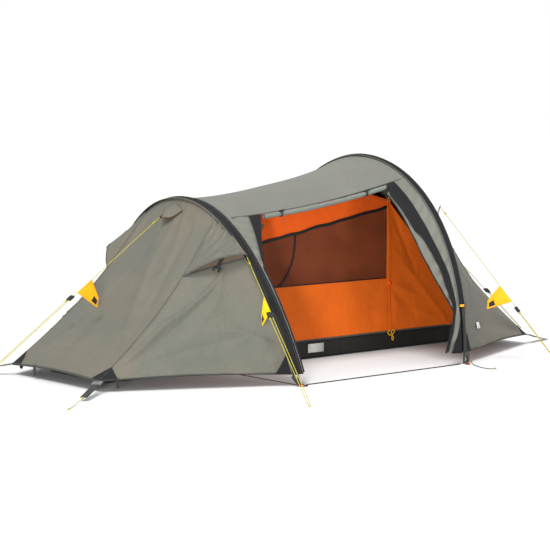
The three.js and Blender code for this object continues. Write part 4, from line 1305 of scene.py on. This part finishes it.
NEAR = Vector((0, -1, 0))
sill_zip = [(lerp(-0.448, 0.590, share), SILL) for share in shares(40)]
ribbon("inner_sill_zip", on_wall(sill_zip), NEAR, 0.005, 0.0014, "zip", smooth=1)
curved_zip = [(-0.028, 0.616), (-0.032, 0.560), (-0.049, 0.487), (-0.085, 0.420), (-0.136, 0.372)]
ribbon("inner_curved_zip", on_wall(curved_zip, 0.003), NEAR, 0.009, 0.0016, "zip", smooth=8)
top_zip = []
for k, share in enumerate(shares(60)):
    ripple = 0.007 * noise.noise(Vector((k * 0.17, 3, 1)))
    top_zip.append((lerp(-0.450, 0.588, share), lerp(0.554, 0.731, share) + ripple))
ribbon("inner_window_zip", on_wall(top_zip, 0.003), NEAR, 0.014, 0.0022, "zip", smooth=1)
ribbon("inner_upright_seam", on_wall([(0.600, 0.768), (0.604, 0.60), (0.609, 0.34), (0.630, 0.096)]), NEAR,
       0.008, 0.0012, "inner_shade_and_seam", smooth=8)
tub_seam = [(lerp(-1.146, 1.126, share), TUB_HEIGHT) for share in shares(60)]
ribbon("inner_tub_seam", on_wall(tub_seam), NEAR, 0.008, 0.0012, "seam", smooth=1)
PULL = [(0.614, 0.100), (0.600, 0.088), (0.612, 0.074), (0.634, 0.078), (0.648, 0.092), (0.632, 0.100),
        (0.624, 0.080), (0.640, 0.060), (0.634, 0.046), (0.628, 0.058), (0.632, 0.074)]
ribbon("inner_pull_loop", on_wall(PULL, 0.005), NEAR, 0.0045, 0.0016, "pouch", smooth=6)
for name, x, z in (("head", 0.596, 0.755), ("foot", -0.215, 0.742)):
    loop = circle(Vector((x, INNER_Y - 0.010, z)), Vector((0.010, 0, 0)), Vector((0, 0, 0.014)), 20)
    tube_mesh(f"inner_hang_loop_{name}", loop, 0.0018, 8, "orange")
    tape = [Vector((x, INNER_Y - 0.004, z)), Vector((x + 0.004, INNER_Y - 0.012, z + 0.045))]
    ribbon(f"inner_hang_tape_{name}", tape, NEAR, 0.009, 0.0012, "pouch", smooth=4)
knot_place = Vector((TIE[0], INNER_Y - 0.004, TIE[2]))
ribbon("inner_tie_tab", [knot_place + Vector((-0.010, 0, 0.012)), knot_place + Vector((0.002, -0.006, 0)),
                         knot_place + Vector((0.010, 0, -0.012))], NEAR, 0.012, 0.0020, "orange",
       smooth=6)
ribbon("inner_label", on_wall([(0.056, 0.052), (0.160, 0.052)], 0.0035), NEAR, 0.040, 0.0006, "label",
       smooth=1)

# ------------------------------------------------------------------ webbing on the ground and at the corners
def foot_strap(label, hoop, side):
    """The strap from a hoop's foot to its peg, and the peg's loop. side is -1 for near and 1 for far."""
    sign = math.copysign(1, hoop["x"])
    x, w = hoop["x"] + sign * 0.006, hoop["half_width"]
    out = Vector((0, side, 0))
    # Each step: along the tent, out past the hoop's foot, height.
    steps = [(0.034, -0.008, 0.049), (0.012, 0.008, 0.014), (0.002, 0.014, 0.006), (-0.016, 0.036, 0.0026)]
    path = [Vector((x + sign * ahead, side * (w + past), z)) for ahead, past, z in steps]
    ribbon(f"strap_{label}", path, [out, out, Vector((0, side, 1)).normalized(), UP.copy()], 0.020, 0.0018,
           "webbing", ROOT, [f"foot_strap_{label}"], smooth=6)
    middle = Vector((x + 0.004 * sign, side * (w + 0.020), 0.0050))
    loop = circle(middle, Vector((0.007, 0, 0)), Vector((0, side * 0.012, 0)), 18)
    tube_mesh(f"peg_loop_{label}", loop, 0.0017, 8, "orange")


# Below the tall hoop's sleeve a strip of dark cloth closes the gap behind the bare pole.
points = [Arc(HEAD, z).at(0) + Vector((0.001, 0.009, 0)) for z in np.linspace(0.056, 0.30, 14)]
ribbon("sleeve_end_facing", points, Vector((0, -1, 0.1)), 0.036, 0.0014, "sleeve",
       smooth=1)

for end_name, hoop in (("foot", FOOT), ("head", HEAD)):
    for side_name, side in (("near", -1), ("far", 1)):
        foot_strap(f"{end_name}_{side_name}", hoop, side)

reach = FOOT["half_width"] - 0.010
path = [Vector((FOOT["x"], lerp(-reach, reach, share), 0.0012)) for share in shares(40)]
ribbon("base_tape_foot", path, UP, 0.0080, 0.0020, "webbing_brown_and_shadow", ROOT, ["foot_base_tape"], smooth=1)
path = [Vector((lerp(-0.494, 0.494, share), -0.778, 0.0023)) for share in shares(40)]
ribbon("spacer_tape", path, UP, 0.0060, 0.0038, "webbing", ROOT, ["near_spacer_tape"], smooth=1)


def corner_strap(label, point, direction, length, end_height):
    for side_name, side in (("near", 1), ("far", -1)):
        p0 = Vector((point.x, point.y * side, point.z))
        flat = Vector((direction[0], direction[1] * side, 0)).normalized()
        end = p0 + flat * length
        end.z = end_height
        slope = (end - p0).normalized()
        facing = slope.cross(Vector((-flat.y, flat.x, 0)))
        if facing.z < 0:
            facing.negate()
        bow = Vector((0, 0, 0.0015))
        route = [p0 + slope * 0.048, p0.lerp(end, 0.5) - bow, end]
        ribbon(f"corner_webbing_{label}_{side_name}", route, facing, 0.030, 0.0018, "webbing", ROOT,
               [f"corner_strap_{label}_{side_name}"], smooth=10)
        tab = [p0 - slope * 0.030, p0 - slope * 0.012, p0 + slope * 0.006]
        ribbon(f"corner_tab_{label}_{side_name}", tab, facing, 0.020, 0.0016, "webbing", smooth=4)


corner_strap("foot", FOOT_CORNER, (-0.778, -0.628), 0.232, 0.016)
corner_strap("head", HEAD_CORNER, (0.98, 0.2), 0.2094, 0.0025)


# ------------------------------------------------------------------ pouches on the guylines and gussets
def pouch(name, line):
    start, peg = Vector(line["start"]), Vector(line["peg"])
    along = (peg - start).normalized()
    sideways = along.cross(UP).normalized()
    above = sideways.cross(along).normalized()
    top = start.lerp(peg, line["flag"][0]) - above * 0.0025
    low = start.lerp(peg, line["flag"][1]) - above * 0.0025
    drop = (-UP).lerp(-above, line["lean"]).normalized()
    tip = start.lerp(peg, lerp(line["flag"][0], line["flag"][1], 0.12)) + drop * 0.132
    inner = start.lerp(peg, lerp(line["flag"][0], line["flag"][1], -0.1)) + drop * 0.098
    body = f"flag_{name}_body"

    def surface(p, q):
        return top.lerp(low, p).lerp(inner.lerp(tip, p), q)

    for side_name, side in (("left", -1), ("right", 1)):
        def swollen(p, q, side=side):
            puff = 0.0012 + 0.0035 * math.sin(math.pi * min(max(p, 0), 1)) * math.sin(math.pi * q)
            return surface(p, q) + sideways * (side * puff)

        obj = grid(f"pouch_{name}_{side_name}", swollen, 16, 20)
        look = "pouch_yellow" if name == "foot_near" else "pouch"
        finish_piece(obj, look, body, [f"flag_{name}"] if side < 0 else ())
        modifier = obj.modifiers.new("thickness", "SOLIDIFY")
        modifier.thickness = 0.0005

        def pane(p, q, side=side):
            return swollen(lerp(0.42, 0.86, p), lerp(0.62, 0.90, q), side) + sideways * (side * 0.0007)

        window = grid(f"pouch_window_{name}_{side_name}", pane, 8, 8)
        finish_piece(window, "pouch_dark", body, ())
    edge = [surface(p, 0) for p in (0, 0.25, 0.5, 0.75, 1)]
    ribbon(f"pouch_hem_{name}", edge, sideways, 0.006, 0.0032, "pouch", body)


for name, line in GUYLINES.items():
    if "flag" in line:
        pouch(name, line)


def gusset(label, end, tip, spread):
    """The beak of cloth that spreads a ridge guyline's pull over the end of the flysheet."""
    tip = Vector(tip) + Vector((-end.side * 0.006, 0, 0.001))
    lift = Vector((end.side * 0.003, 0, 0.004))

    def surface(p, q):
        root = end.centre(lerp(0.5 - spread, 0.5 + spread, p), 0.03 + 0.03 * abs(2 * p - 1)) + lift
        narrow = tip + Vector((0, lerp(-0.004, 0.004, p), 0))
        dip = Vector((0, 0, -0.014)) * (math.sin(math.pi * q) * abs(2 * p - 1))
        return root.lerp(narrow, q) + dip

    obj = grid(f"{label}_gusset_cloth", surface, 20, 16)
    # The gusset takes the darker end cloth, as painted shade.
    cloth_piece(obj, "painted_shade_fly_end", [f"{label}_guy_gusset"], thick=0.0014)
    # Along each lower edge runs a hem ribbon in brown, which is painted shadow under the gusset's edge.
    for side, p in (("near", 0.0), ("far", 1.0)):
        edge = [surface(p, share) + Vector((0, 0, -0.0015)) for share in shares(12)]
        ribbon(f"{label}_gusset_hem_shadow_{side}", edge, Vector((end.side, 0, 0.3)), 0.006, 0.0024,
               "webbing_brown_and_shadow", smooth=1)
    web = [tip + Vector((end.side * 0.006, 0, -0.002)), tip, tip - Vector((end.side * 0.014, 0, -0.006))]
    ribbon(f"{label}_gusset_loop", web, Vector((0, 1, 0)), 0.008, 0.0040, "zip", smooth=4)


gusset("foot", foot_end, GUYLINES["foot_centre"]["start"], 0.12)
gusset("head", head_end, GUYLINES["head_centre"]["start"], 0.05)

# ------------------------------------------------------------------ CAD nodes that keep their shape
HARD = ("tensioner_", "vent_strut_", "door_toggle_", "corner_buckle_", "fly_zip_slider_", "inner_door_slider")
for name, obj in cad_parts.items():
    if name.startswith(HARD):
        obj.data.materials.clear()
        obj.data.materials.append(LOOK["buckle" if name.startswith("corner_buckle_") else "plastic"])
        bevel = obj.modifiers.new("rounded", "BEVEL")
        bevel.width = 0.0007
        bevel.segments = 3
        bevel.limit_method = "ANGLE"

# ------------------------------------------------------------------ floor and light
floor_mesh = bpy.data.meshes.new("studio_floor")
floor_mesh.from_pydata([(-40, -40, 0), (40, -40, 0), (40, 40, 0), (-40, 40, 0)], [], [(0, 1, 2, 3)])
floor = bpy.data.objects.new("studio_floor", floor_mesh)
floor_look = Shader("studio_floor", 0.9)
floor_look.bsdf.inputs["Base Color"].default_value = (0.56, 0.56, 0.56, 1)
floor_mesh.materials.append(floor_look.material)
bpy.context.scene.collection.objects.link(floor)

world = bpy.data.worlds.new("studio")
world.use_nodes = True
world.node_tree.nodes["Background"].inputs["Color"].default_value = (1, 1, 1, 1)
world.node_tree.nodes["Background"].inputs["Strength"].default_value = 1.0
bpy.context.scene.world = world


def area_light(name, place, aim, size, power):
    data = bpy.data.lights.new(name, "AREA")
    data.shape = "DISK"
    data.size = size
    data.energy = power
    light = bpy.data.objects.new(name, data)
    light.location = place
    light.rotation_euler = (Vector(aim) - Vector(place)).to_track_quat("-Z", "Y").to_euler()
    bpy.context.scene.collection.objects.link(light)


sun_data = bpy.data.lights.new("key", "SUN")
sun_data.energy = 3.3
sun_data.angle = math.radians(24)
sun = bpy.data.objects.new("key", sun_data)
sun.rotation_euler = Vector((2.5, 0.9, -5.5)).to_track_quat("-Z", "Y").to_euler()
bpy.context.scene.collection.objects.link(sun)
area_light("front", (1.2, -6.0, 1.6), (0.3, 0, 0.3), 1.6, 70)
area_light("door_light", (-5.6, -4.9, 0.7), (0.8, 0, 0.35), 0.8, 430)
bpy.context.scene.view_settings.view_transform = "Standard"
